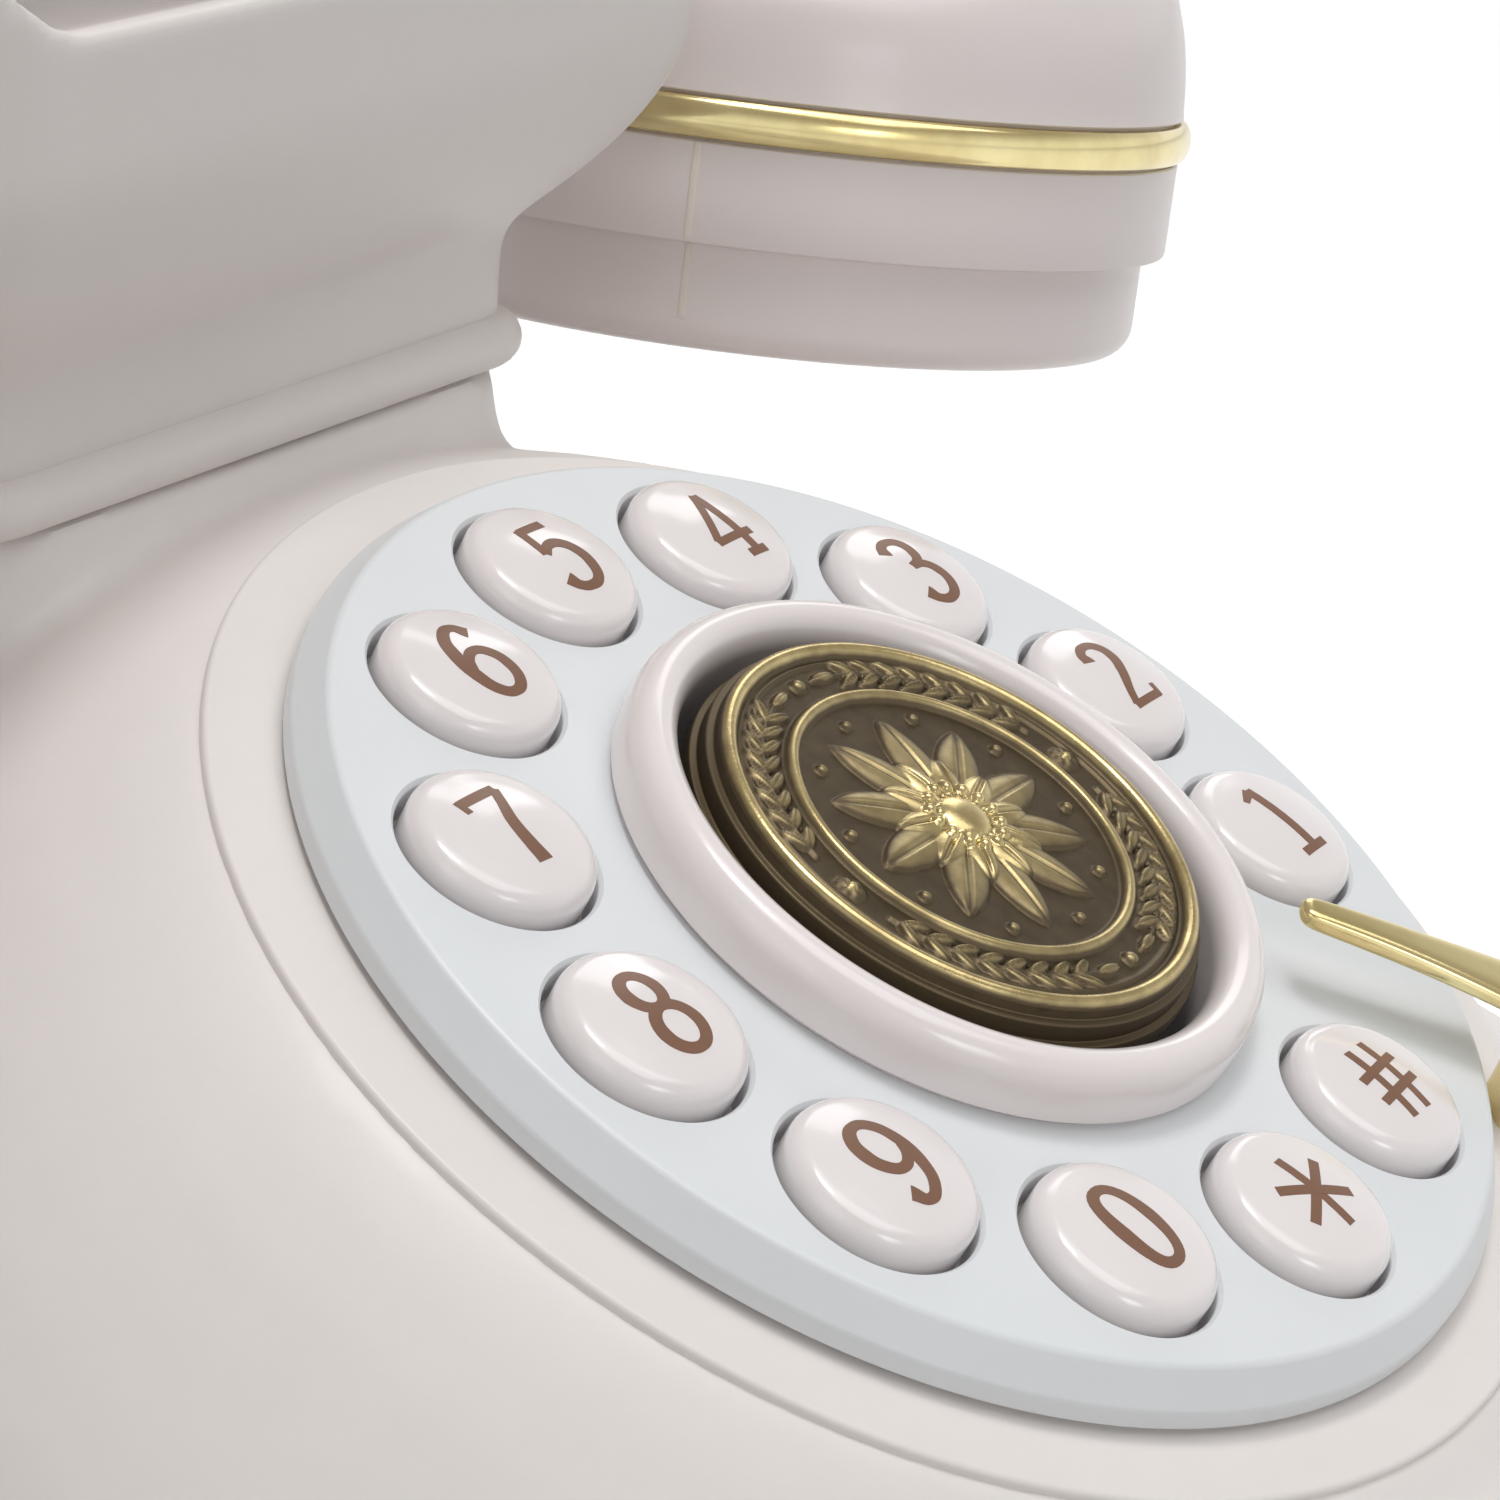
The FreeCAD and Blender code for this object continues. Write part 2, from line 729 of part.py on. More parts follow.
def handset_form(inset):
    """The handset without its caps: handle, two elbows and two bells down to the band's foot."""
    wires, reach = elbow_sections(inset)
    elbow = Part.makeLoft(wires, True, False)
    band = cup_frame(disc(bell_radius - inset, -band_height, 0), 1)
    right = elbow.fuse(band)
    left = right.mirror(vec(0, 0, 0), vec(1, 0, 0))
    handle = Part.makeCylinder(handle_radius - inset, 2 * reach, vec(-reach, neck_y, handle_z), vec(1, 0, 0))
    return handle.fuse(right).fuse(left)


def make_handset_shells():
    """The two moulded halves, parted on the handset's upright middle plane."""
    shell = handset_form(0).cut(handset_form(handset_wall))
    for side in (-1, 1):
        groove = tube(bell_radius + 2, bell_radius - gold_sink, -gold_height / 2, gold_height / 2)
        mouth = disc(bell_radius - handset_wall, -band_height - 1, 0)
        shell = shell.cut(cup_frame(groove, side)).cut(cup_frame(mouth, side))
    shell = shell.cut(handset_socket_cut())
    front = block(2 * over, over, over, 0, neck_y - over / 2, 0)
    rear = block(2 * over, over, over, 0, neck_y + over / 2, 0)
    return shell.common(front), shell.common(rear)


def handset_socket_cut():
    deep = bell_radius - handset_wall - socket_sink
    cut = block(cord_width, 20, cord_height, 0, deep + 10, socket_height - cord_height / 2)
    return cup_frame(cut, -1)


def make_handset_socket():
    """The cord's socket in the back of the mouthpiece bell, above the gold ring, open to the rear."""
    deep = bell_radius - handset_wall - socket_sink
    low = socket_height - cord_height / 2
    body = block(cord_width + 2 * jack_wall, jack_depth, cord_height + 2 * socket_floor, 0,
                 deep - jack_depth / 2, low - socket_floor)
    mouth = block(cord_width, jack_mouth, cord_height, 0, deep - jack_mouth / 2, low)
    return cup_frame(body.cut(mouth), -1)


def make_gold_ring(side):
    half = gold_height / 2
    inner = bell_radius - gold_sink
    ring = turned((inner, -half), (bell_radius, -half), ((bell_radius + gold_proud, 0), (bell_radius, half)),
                  (inner, half))
    return cup_frame(ring, side)


def make_cap(side, holes):
    """A turned cap with a dished, pierced face and a spigot into the bell."""
    top = -band_height
    low = top - cap_height
    soft = cap_round * (1 - math.sqrt(0.5))
    spigot = bell_radius - handset_wall - fit_gap
    inner = spigot - handset_wall
    face = low + cap_face
    cap = turned((0, low + cap_dish), ((cap_radius / 2, low + cap_dish * 0.7), (cap_radius - 2 * cap_round, low)),
                 (cap_radius - cap_round, low),
                 ((cap_radius - soft, low + soft), (cap_radius, low + cap_round)), (cap_radius, top),
                 (spigot, top), (spigot, top + cap_spigot), (inner, top + cap_spigot),
                 (inner, face + cap_dish), (0, face + cap_dish))
    for radius, count, size in holes:
        for i in range(count):
            angle = 2 * math.pi * i / count
            hole = Part.makeCylinder(size, cap_height, vec(radius * math.cos(angle), radius * math.sin(angle),
                                                           low - 1))
            cap = cap.cut(hole)
    return cup_frame(cap, side)


def make_receiver():
    floor = cap_face + cap_dish - band_height - cap_height
    capsule = disc(receiver_radius, floor, floor + receiver_height)
    magnet = disc(receiver_radius / 2, floor + receiver_height, floor + receiver_height + 4)
    return cup_frame(capsule.fuse(magnet), 1)


def make_microphone():
    floor = cap_face + cap_dish - band_height - cap_height
    return cup_frame(disc(microphone_radius, floor, floor + microphone_height), -1)


def make_handset_weight():
    return Part.makeCylinder(weight_radius, weight_length, vec(-weight_length / 2, neck_y, handle_z),
                             vec(1, 0, 0))


def make_plunger(side):
    """A round hook button that rises from the bottom of the handle's notch."""
    top = handle_z - notch_radius
    return Part.makeCylinder(plunger_radius, top - yoke_z - yoke_height,
                             vec(side * plunger_x, neck_y, yoke_z + yoke_height))


def make_hook_yoke():
    """The bar that joins the two hook buttons inside the cradle, with a seat for its spring."""
    bar = block(2 * (plunger_x + yoke_overlap), yoke_width, yoke_height, 0, neck_y, yoke_z)
    return bar.cut(Part.makeCylinder(spring_radius + 1, spring_seat, vec(0, neck_y, yoke_z)))


def make_hook_spring():
    """The return spring under the yoke, a plain helix standing on the hook bracket."""
    height = spring_length - 2 * spring_wire
    helix = Part.makeHelix(height / spring_turns, height, spring_radius)
    section = Part.Circle(vec(spring_radius, 0, 0), vec(0, 1, 0), spring_wire).toShape()
    coil = Part.Wire(helix.Edges).makePipeShell([Part.Wire([section])], True, False)
    coil.translate(vec(0, neck_y, bracket_top + spring_wire))
    return coil


def make_hook_bracket():
    """The cross bar in the waist that carries the spring and the hook switch."""
    bar = block(neck_width - 2 * wall, neck_depth / 2 - wall, bracket_thickness, 0, neck_y,
                bracket_top - bracket_thickness)
    post_radius = spring_radius - 2 * spring_wire - 0.3
    return bar.fuse(Part.makeCylinder(post_radius, spring_length / 2, vec(0, neck_y, bracket_top)))


def make_hook_switch():
    """A small lever switch on the bracket, beside the spring."""
    case = block(hook_switch_width, hook_switch_depth, hook_switch_height, hook_switch_x, neck_y, bracket_top)
    case_top = bracket_top + hook_switch_height
    stem = block(hook_switch_width / 5, hook_switch_depth / 2, hook_lever_gap,
                 hook_switch_x - hook_switch_width / 4, neck_y, case_top)
    lever = block(hook_switch_width * 0.9, hook_switch_depth * 0.7, hook_lever_thickness, hook_switch_x,
                  neck_y, case_top + hook_lever_gap)
    return case.fuse(stem).fuse(lever)


def make_base_plate():
    """The flat floor of the phone, seated inside the shell's rim, with a grille under the ringer."""
    sections = [body_section(z, wall + plate_gap, wall) for z in (foot_height, foot_height + base_thickness)]
    plate = Part.makeLoft(sections, True, True)
    for x, y in foot_places():
        plate = plate.cut(Part.makeCylinder(foot_radius, foot_sink, vec(x, y, foot_height)))
    for x, y in boss_places():
        plate = plate.cut(Part.makeCylinder(screw_radius, base_thickness, vec(x, y, foot_height)))
        plate = plate.cut(Part.makeCylinder(screw_head, base_thickness / 2, vec(x, y, foot_height)))
    for i in range(grille_slots):
        across = grille_pitch * (i - (grille_slots - 1) / 2)
        width = 2 * (math.sqrt(speaker_radius ** 2 - across ** 2) - grille_margin)
        plate = plate.cut(block(width, grille_slot, base_thickness, speaker_x, speaker_y + across, foot_height))
    post_x = main_board_width / 2 - board_post_inset
    post_y = main_board_depth / 2 - board_post_inset
    for x in (-post_x, post_x):
        for y in (main_board_y - post_y, main_board_y + post_y):
            plate = plate.fuse(Part.makeCylinder(board_post_radius, main_board_z - foot_height - base_thickness,
                                                 vec(x, y, foot_height + base_thickness)))
    return plate


def foot_places():
    x = base_width / 2 - foot_inset_x
    return [(side * x, y) for side in (-1, 1)
            for y in (foot_inset_front - base_depth / 2, base_depth / 2 - foot_inset_back)]


def boss_places():
    x = base_width / 2 - boss_inset_x
    return [(side * x, y) for side in (-1, 1)
            for y in (boss_inset_front - base_depth / 2, base_depth / 2 - boss_inset_back)]


def make_rubber_feet():
    feet = []
    for x, y in foot_places():
        foot = turned((0, 0), (foot_radius - 1, 0), (foot_radius, 1), (foot_radius, foot_height + foot_sink),
                      (0, foot_height + foot_sink))
        foot.translate(vec(x, y, 0))
        feet.append(foot)
    return Part.makeCompound(feet)


def make_base_screws():
    screws = []
    head = base_thickness / 2
    for x, y in boss_places():
        screw = Part.makeCylinder(screw_radius, screw_length - head, vec(x, y, foot_height + head))
        cap = Part.makeCylinder(screw_head, head - screw_sunk, vec(x, y, foot_height + screw_sunk))
        screws.append(screw.fuse(cap))
    return Part.makeCompound(screws)


def make_main_board():
    """The circuit board on the base plate's posts, with its chip, relay and capacitors."""
    board = block(main_board_width, main_board_depth, board_thickness, 0, main_board_y, main_board_z)
    top = main_board_z + board_thickness
    board = board.fuse(block(*chip_size, -main_board_width / 7, main_board_y - chip_size[1], top))
    board = board.fuse(block(*relay_size, main_board_width / 4, main_board_y - relay_size[1], top))
    for i in range(3):
        x = i * capacitor_pitch - main_board_width / 2 + capacitor_pitch
        board = board.fuse(Part.makeCylinder(capacitor_radius, capacitor_height,
                                             vec(x, main_board_y + main_board_depth / 4, top)))
    return board


def make_ballast():
    plate = block(ballast_width, ballast_depth, ballast_height, 0, ballast_y, foot_height + base_thickness)
    return plate.makeFillet(ballast_corner, [e for e in plate.Edges if e.BoundBox.ZLength > ballast_height / 2])


def make_speaker():
    low = foot_height + base_thickness
    frame = Part.makeCylinder(speaker_radius, speaker_frame, vec(speaker_x, speaker_y, low))
    cone = Part.makeCone(speaker_radius - speaker_frame, speaker_radius / 2, speaker_height - speaker_frame,
                         vec(speaker_x, speaker_y, low + speaker_frame))
    return frame.fuse(cone)


def make_jack(x, width, height):
    """A moulded cord socket behind the back wall, open to the rear."""
    face = rear_wall_inside(jack_z + height / 2 + jack_wall)
    body = block(width + 2 * jack_wall, jack_depth, height + 2 * jack_wall, x, face - jack_depth / 2,
                 jack_z - height / 2 - jack_wall)
    mouth = block(width, jack_mouth, height, x, face - jack_mouth / 2, jack_z - height / 2)
    return body.cut(mouth)


def make_switch_body(index):
    x = switch_first_x + index * switch_pitch
    face = rear_wall_inside(switch_z + switch_body_height / 2)
    return block(switch_body_width, switch_body_depth, switch_body_height, x, face - switch_body_depth / 2,
                 switch_z - switch_body_height / 2)


def make_switch_knob(index):
    """The ribbed thumb piece of a slide switch, at the left end of its slot."""
    x = switch_first_x + index * switch_pitch - switch_travel / 2
    face = rear_wall_inside(switch_z + switch_body_height / 2)
    length = base_depth / 2 - knob_sunk - face
    height = switch_slot_height - 0.6
    knob = block(knob_width, length, height, x, face + length / 2, switch_z - height / 2)
    for i in (-1, 0, 1):
        knob = knob.cut(block(knob_groove, knob_groove, height, x + i * knob_groove_pitch,
                              base_depth / 2 - knob_sunk, switch_z - height / 2))
    return knob


def save(name, shape):
    os.makedirs("parts", exist_ok=True)
    if not shape.isValid():
        print(name, "is not valid")
    print(name, len(shape.Solids), "solid", round(shape.Volume / 1000, 2), "cm3")
    shape.exportStep("parts/" + name + ".step")


def main():
    save("body_shell", make_body_shell())
    save("cradle_housing", make_cradle_housing())
    save("base_plate", make_base_plate())
    save("rubber_feet", make_rubber_feet())
    save("base_screws", make_base_screws())
    save("ballast_weight", make_ballast())
    save("main_board", make_main_board())
    save("ringer_speaker", make_speaker())
    save("line_jack", make_jack(line_x, line_width, line_height))
    save("handset_jack", make_jack(cord_x, cord_width, cord_height))
    for index, name in enumerate(("ringer", "tone")):
        save(name + "_switch", make_switch_body(index))
        save(name + "_knob", make_switch_knob(index))
    save("dial_plate", make_dial_plate())
    save("centre_ring", make_centre_ring())
    save("medallion", make_medallion())
    save("rocker_pin", make_rocker_pin())
    save("finger_stop", make_finger_stop())
    for index, name in enumerate(key_names):
        save("key_" + name, make_key(index))
    save("key_mat", make_key_mat())
    save("keypad_board", make_keypad_board())
    save("keypad_screws", make_keypad_screws())
    front, rear = make_handset_shells()
    save("handset_front", front)
    save("handset_rear", rear)
    save("ear_ring", make_gold_ring(1))
    save("mouth_ring", make_gold_ring(-1))
    save("ear_cap", make_cap(1, [(0, 1, 1.5), (6, 6, 1.5)]))
    save("mouth_cap", make_cap(-1, [(0, 1, 1.2), (5, 5, 1.2)]))
    save("receiver", make_receiver())
    save("microphone", make_microphone())
    save("handset_weight", make_handset_weight())
    save("handset_socket", make_handset_socket())
    save("hook_plunger_left", make_plunger(-1))
    save("hook_plunger_right", make_plunger(1))
    save("hook_yoke", make_hook_yoke())
    save("hook_spring", make_hook_spring())
    save("hook_bracket", make_hook_bracket())
    save("hook_switch", make_hook_switch())


main()
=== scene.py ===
import json
import math
import bmesh
import bpy
import numpy as np
from mathutils import Matrix, Vector


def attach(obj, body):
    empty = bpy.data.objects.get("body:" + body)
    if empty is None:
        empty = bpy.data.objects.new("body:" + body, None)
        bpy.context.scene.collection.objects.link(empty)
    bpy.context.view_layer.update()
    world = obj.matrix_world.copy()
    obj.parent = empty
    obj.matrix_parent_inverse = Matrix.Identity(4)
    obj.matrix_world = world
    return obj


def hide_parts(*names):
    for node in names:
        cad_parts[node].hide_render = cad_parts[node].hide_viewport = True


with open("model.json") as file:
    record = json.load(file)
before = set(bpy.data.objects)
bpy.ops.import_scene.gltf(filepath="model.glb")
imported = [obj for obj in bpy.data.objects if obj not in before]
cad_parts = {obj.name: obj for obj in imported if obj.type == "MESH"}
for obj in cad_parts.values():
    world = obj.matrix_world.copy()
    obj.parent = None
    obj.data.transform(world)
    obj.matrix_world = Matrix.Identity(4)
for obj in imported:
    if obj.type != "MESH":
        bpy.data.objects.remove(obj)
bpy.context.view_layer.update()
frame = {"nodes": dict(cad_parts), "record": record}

scene = bpy.context.scene
mm = 0.001

# Pieces are drawn in millimetres and brought to metres when they are finished; the studio is in metres

phoneLook = {
    "dialY": -23.0, "dialZ": 50.0, "dialTilt": 26.2,
    "neckY": 39.0,
    "cupX": 80.0, "cupZ": 74.0, "cupLean": 8.3,
}

dialFrame = Matrix.Translation((0, phoneLook["dialY"], phoneLook["dialZ"]))
dialFrame = dialFrame @ Matrix.Rotation(math.radians(phoneLook["dialTilt"]), 4, "X")


def cupFrame(side):
    turn = Matrix.Rotation(math.radians(side * phoneLook["cupLean"]), 4, "Y")
    return Matrix.Translation((side * phoneLook["cupX"], phoneLook["neckY"], phoneLook["cupZ"])) @ turn


def linked(name, data):
    made = bpy.data.objects.new(name, data)
    scene.collection.objects.link(made)
    return made


def toObject(bm, name):
    mesh = bpy.data.meshes.new(name)
    bm.to_mesh(mesh)
    bm.free()
    return linked(name, mesh)


# Camera, as fitted to the photograph

cameraLook = {
    "place": (-189.4, -123.5, 138.9),
    "right": (0.526, -0.849, 0.045),
    "down": (-0.282, -0.224, -0.933),
    "focalPixels": 4059.3,
    "framePixels": 1500,
    "sensor": 36.0,
}


def placeCamera(look):
    data = bpy.data.cameras.new("camera")
    data.sensor_width = look["sensor"]
    data.lens = look["sensor"] * look["focalPixels"] / look["framePixels"]
    data.clip_start = 0.01
    camera = linked("camera", data)
    right = Vector(look["right"]).normalized()
    up = -Vector(look["down"])
    up = (up - right * up.dot(right)).normalized()
    turn = Matrix((right, up, right.cross(up))).transposed()
    camera.matrix_world = Matrix.Translation(Vector(look["place"]) * mm) @ turn.to_4x4()
    scene.camera = camera


placeCamera(cameraLook)
print("camera placed")

# Node helpers: a value is a number, a colour or another node's output


def addNode(tree, kind, values=None, **settings):
    node = tree.nodes.new(kind)
    for name, value in settings.items():
        setattr(node, name, value)
    for socket, value in (values or {}).items():
        if isinstance(value, bpy.types.NodeSocket):
            tree.links.new(value, node.inputs[socket])
        else:
            node.inputs[socket].default_value = value
    return node


def newMaterial(name):
    material = bpy.data.materials.new(name)
    material.use_nodes = True
    return material, material.node_tree


def newGroup(name, inputs):
    group = bpy.data.node_groups.new(name, "ShaderNodeTree")
    for label, kind, value in inputs:
        socket = group.interface.new_socket(name=label, in_out="INPUT", socket_type="NodeSocket" + kind)
        socket.default_value = value
    for label, kind in (("Colour", "Color"), ("Roughness", "Float"), ("Height", "Float")):
        group.interface.new_socket(name=label, in_out="OUTPUT", socket_type="NodeSocket" + kind)
    return group, group.nodes.new("NodeGroupInput").outputs


def mathNode(tree, operation, first, second):
    return addNode(tree, "ShaderNodeMath", {0: first, 1: second}, operation=operation).outputs[0]


def mixColour(tree, factor, first, second, blend="MIX"):
    mix = addNode(tree, "ShaderNodeMix", {0: factor, 6: first, 7: second}, data_type="RGBA", blend_type=blend)
    return mix.outputs[2]


def noiseNode(tree, values):
    where = addNode(tree, "ShaderNodeTexCoord").outputs["Object"]
    return addNode(tree, "ShaderNodeTexNoise", {"Vector": where, **values}).outputs[0]


# Floor, world and lamps

studioLook = {
    "ambient": 0.315,
    "skyLow": (1.0, 1.0, 1.0, 1),
    "skyHigh": (0.44, 0.41, 0.38, 1),
    "skyRise": (0.15, 0.6),
    "floorHalf": 4.0,
    "floorShade": (0.50, 0.49, 0.48, 1),
    "floorSeen": (0.86, 0.86, 0.86, 1),
    "floorGlow": 0.30,
    # name, place, aim, size, power, spread in degrees
    "lamps": [
        ("top", (0.0, -0.06, 1.0), (0, 0, 0.05), 0.22, 2.1, 180),
        ("roof", (0.12, -0.5, 1.35), (0, 0, 0.05), 1.1, 6.8, 180),
        ("left", (-1.3, 0.0, 0.8), (0, 0, 0.06), 0.8, 1.6, 180),
        ("rightBack", (1.1, 0.5, 0.9), (0, 0, 0.08), 0.7, 3.0, 180),
        ("skirt", (-0.21, -0.44, 0.17), (-0.025, -0.10, 0.005), 0.16, 0.02, 42),
    ],
}


def seenRay(tree):
    path = addNode(tree, "ShaderNodeLightPath").outputs
    rays = mathNode(tree, "MAXIMUM", path["Is Camera Ray"], path["Is Glossy Ray"])
    return path["Is Glossy Ray"], mathNode(tree, "MAXIMUM", rays, path["Is Transmission Ray"])


def buildWorld(look):
    world = bpy.data.worlds.new("studio")
    scene.world = world
    world.use_nodes = True
    tree = world.node_tree
    glossy, seen = seenRay(tree)
    where = addNode(tree, "ShaderNodeTexCoord").outputs["Generated"]
    height = addNode(tree, "ShaderNodeSeparateXYZ", {0: where}).outputs[2]
    low, high = look["skyRise"]
    rise = addNode(tree, "ShaderNodeMapRange", {0: height, "From Min": low, "From Max": high}).outputs[0]
    colour = mixColour(tree, mathNode(tree, "MULTIPLY", rise, glossy), look["skyLow"], look["skyHigh"])
    background = tree.nodes["Background"]
    tree.links.new(colour, background.inputs["Color"])
    tree.links.new(mathNode(tree, "MAXIMUM", seen, look["ambient"]), background.inputs["Strength"])
    scene.view_settings.view_transform = "Standard"


def buildFloor(look):
    bm = bmesh.new()
    bmesh.ops.create_grid(bm, x_segments=1, y_segments=1, size=look["floorHalf"])
    floor = toObject(bm, "floor")
    material, tree = newMaterial("paleFloor")
    tree.nodes.clear()
    seen = seenRay(tree)[1]
    dull = addNode(tree, "ShaderNodeBsdfDiffuse", {"Color": look["floorShade"]}).outputs[0]
    pale = addNode(tree, "ShaderNodeBsdfDiffuse", {"Color": look["floorSeen"]}).outputs[0]
    glow = addNode(tree, "ShaderNodeEmission", {"Color": (1, 1, 1, 1), "Strength": look["floorGlow"]}).outputs[0]
    bright = addNode(tree, "ShaderNodeAddShader", {0: pale, 1: glow}).outputs[0]
    choose = addNode(tree, "ShaderNodeMixShader", {0: seen, 1: dull, 2: bright}).outputs[0]
    addNode(tree, "ShaderNodeOutputMaterial", {0: choose})
    floor.data.materials.append(material)


def placeLamps(look):
    for name, place, aim, size, power, spread in look["lamps"]:
        light = bpy.data.lights.new(name, "AREA")
        light.size = size
        light.energy = power
        light.spread = math.radians(spread)
        turn = (Vector(aim) - Vector(place)).to_track_quat("-Z", "Y").to_matrix().to_4x4()
        linked(name, light).matrix_world = Matrix.Translation(place) @ turn


buildWorld(studioLook)
buildFloor(studioLook)
placeLamps(studioLook)
print("studio built")

# Shared effects


def buildMouldedGrain():
    group, given = newGroup("mouldedGrain", [
        ("Colour", "Color", (0.8, 0.8, 0.8, 1)), ("Tint", "Color", (0.8, 0.8, 0.8, 1)), ("Drift", "Float", 0.03),
        ("Roughness", "Float", 0.4), ("Spread", "Float", 0.05), ("Grain", "Float", 1400.0)])
    cloud = noiseNode(group, {"Scale": 24.0, "Detail": 3.0})
    mottle = noiseNode(group, {"Scale": 310.0, "Detail": 3.0})
    fine = noiseNode(group, {"Scale": given["Grain"], "Detail": 3.0, "Roughness": 0.6})
    peel = noiseNode(group, {"Scale": mathNode(group, "MULTIPLY", given["Grain"], 0.28), "Detail": 1.0})
    tinted = mixColour(group, cloud, given["Colour"], given["Tint"])
    both = mathNode(group, "ADD", mathNode(group, "MULTIPLY", mottle, 0.6), mathNode(group, "MULTIPLY", fine, 0.4))
    lift = mathNode(group, "MULTIPLY", mathNode(group, "SUBTRACT", both, 0.5), given["Drift"])
    shade = mathNode(group, "ADD", lift, 1.0)
    level = addNode(group, "ShaderNodeCombineColor", {0: shade, 1: shade, 2: shade}).outputs[0]
    rough = mathNode(group, "MULTIPLY", mathNode(group, "SUBTRACT", mottle, 0.5), given["Spread"])
    addNode(group, "NodeGroupOutput", {
        "Colour": mixColour(group, 1.0, tinted, level, "MULTIPLY"),
        "Roughness": mathNode(group, "ADD", rough, given["Roughness"]),
        "Height": mathNode(group, "ADD", mathNode(group, "MULTIPLY", fine, 0.45), peel)})
    return group


def buildMetalBloom():
    group, given = newGroup("metalBloom", [
        ("Bright", "Color", (0.8, 0.8, 0.8, 1)), ("Dull", "Color", (0.5, 0.5, 0.5, 1)), ("Patch", "Float", 60.0),
        ("Roughness", "Float", 0.2), ("Spread", "Float", 0.1)])
    bloom = noiseNode(group, {"Scale": given["Patch"], "Detail": 4.0, "Roughness": 0.6})
    speck = noiseNode(group, {"Scale": 2600.0, "Detail": 2.0})
    mask = addNode(group, "ShaderNodeMapRange", {0: bloom, "From Min": 0.38, "From Max": 0.72}).outputs[0]
    spread = mathNode(group, "ADD", mask, mathNode(group, "MULTIPLY", speck, 0.4))
    rough = mathNode(group, "MULTIPLY", spread, given["Spread"])
    addNode(group, "NodeGroupOutput", {"Colour": mixColour(group, mask, given["Bright"], given["Dull"]),
                                       "Roughness": mathNode(group, "ADD", given["Roughness"], rough),
                                       "Height": speck})
    return group


mouldedGrain = buildMouldedGrain()
metalBloom = buildMetalBloom()


def finishMaterial(name, group, inputs, bump, shader):
    material, tree = newMaterial(name)
    effect = addNode(tree, "ShaderNodeGroup", inputs, node_tree=group)
    relief = addNode(tree, "ShaderNodeBump", {"Strength": bump[0], "Distance": bump[1],
                                              "Height": effect.outputs["Height"]})
    principled = tree.nodes["Principled BSDF"]
    for socket, value in shader.items():
        principled.inputs[socket].default_value = value
    tree.links.new(effect.outputs["Colour"], principled.inputs["Base Color"])
    tree.links.new(effect.outputs["Roughness"], principled.inputs["Roughness"])
    tree.links.new(relief.outputs[0], principled.inputs["Normal"])
    return material


# finish: colour, tint, drift, roughness, spread, grain, then the bump's strength and depth, and the coat
plasticLooks = {
    "shell_cream": ((0.82, 0.785, 0.76, 1), (0.81, 0.755, 0.725, 1), 0.05, 0.46, 0.1, 1500.0, (0.1, 0.0002), 0.08),
    "base_cream": ((0.7, 0.63, 0.59, 1), (0.66, 0.6, 0.56, 1), 0.08, 0.55, 0.1, 1100.0, (0.25, 0.0003), 0.0),
    "handset_cream": ((0.83, 0.765, 0.75, 1), (0.82, 0.745, 0.725, 1),
                      0.03, 0.33, 0.07, 1300.0, (0.05, 0.0002), 0.2),
    "dial_white": ((0.775, 0.795, 0.805, 1), (0.755, 0.785, 0.81, 1), 0.04, 0.4, 0.08, 1700.0, (0.08, 0.0002), 0.1),
    "ring_ivory": ((0.87, 0.805, 0.795, 1), (0.85, 0.785, 0.775, 1), 0.02, 0.22, 0.05, 900.0, (0.02, 0.0002), 0.5),
    "key_white": ((0.86, 0.805, 0.8, 1), (0.84, 0.79, 0.79, 1), 0.02, 0.17, 0.05, 800.0, (0.02, 0.0002), 0.6),
    "knob_ivory": ((0.78, 0.7, 0.65, 1), (0.76, 0.68, 0.62, 1), 0.05, 0.35, 0.08, 1200.0, (0.06, 0.0002), 0.1),
    "foot_rubber": ((0.035, 0.032, 0.03, 1), (0.05, 0.047, 0.045, 1), 0.25, 0.82, 0.15, 900.0, (0.4, 0.0003), 0.0),
    "mat_rubber": ((0.26, 0.24, 0.22, 1), (0.23, 0.21, 0.2, 1), 0.1, 0.75, 0.1, 1000.0, (0.3, 0.0002), 0.0),
    "circuit_board": ((0.02, 0.13, 0.05, 1), (0.015, 0.1, 0.045, 1), 0.35, 0.38, 0.2, 2400.0, (0.15, 0.0001), 0.3),
    "black_plastic": ((0.02, 0.02, 0.02, 1), (0.028, 0.027, 0.026, 1),
                      0.2, 0.48, 0.12, 1800.0, (0.25, 0.0002), 0.0),
    "digit_brown": ((0.185, 0.085, 0.045, 1), (0.22, 0.105, 0.06, 1), 0.18, 0.42, 0.12, 2600.0, (0.1, 0.0001), 0.1),
    # the seam fins' colour is paler and yellower than the handset's: a painted highlight along the parting line
    "seam_highlight_cream": ((0.86, 0.79, 0.72, 1), (0.84, 0.76, 0.68, 1), 0.05, 0.45, 0.08, 1500.0, (0.06, 0.0001), 0.0),
}

# finish: bright, dull, patch, roughness, spread, then the bump's strength and depth
metalLooks = {
    "gilt_brass": ((0.82, 0.71, 0.38, 1), (0.64, 0.52, 0.24, 1), 120.0, 0.13, 0.1, (0.03, 0.0001)),
    "screw_steel": ((0.62, 0.62, 0.61, 1), (0.44, 0.44, 0.43, 1), 300.0, 0.26, 0.18, (0.1, 0.0001)),
    "weight_iron": ((0.26, 0.255, 0.25, 1), (0.14, 0.12, 0.1, 1), 180.0, 0.5, 0.25, (0.5, 0.0003)),
}

plasticSockets = ("Colour", "Tint", "Drift", "Roughness", "Spread", "Grain")
metalSockets = ("Bright", "Dull", "Patch", "Roughness", "Spread")
coatRoughness = 0.12

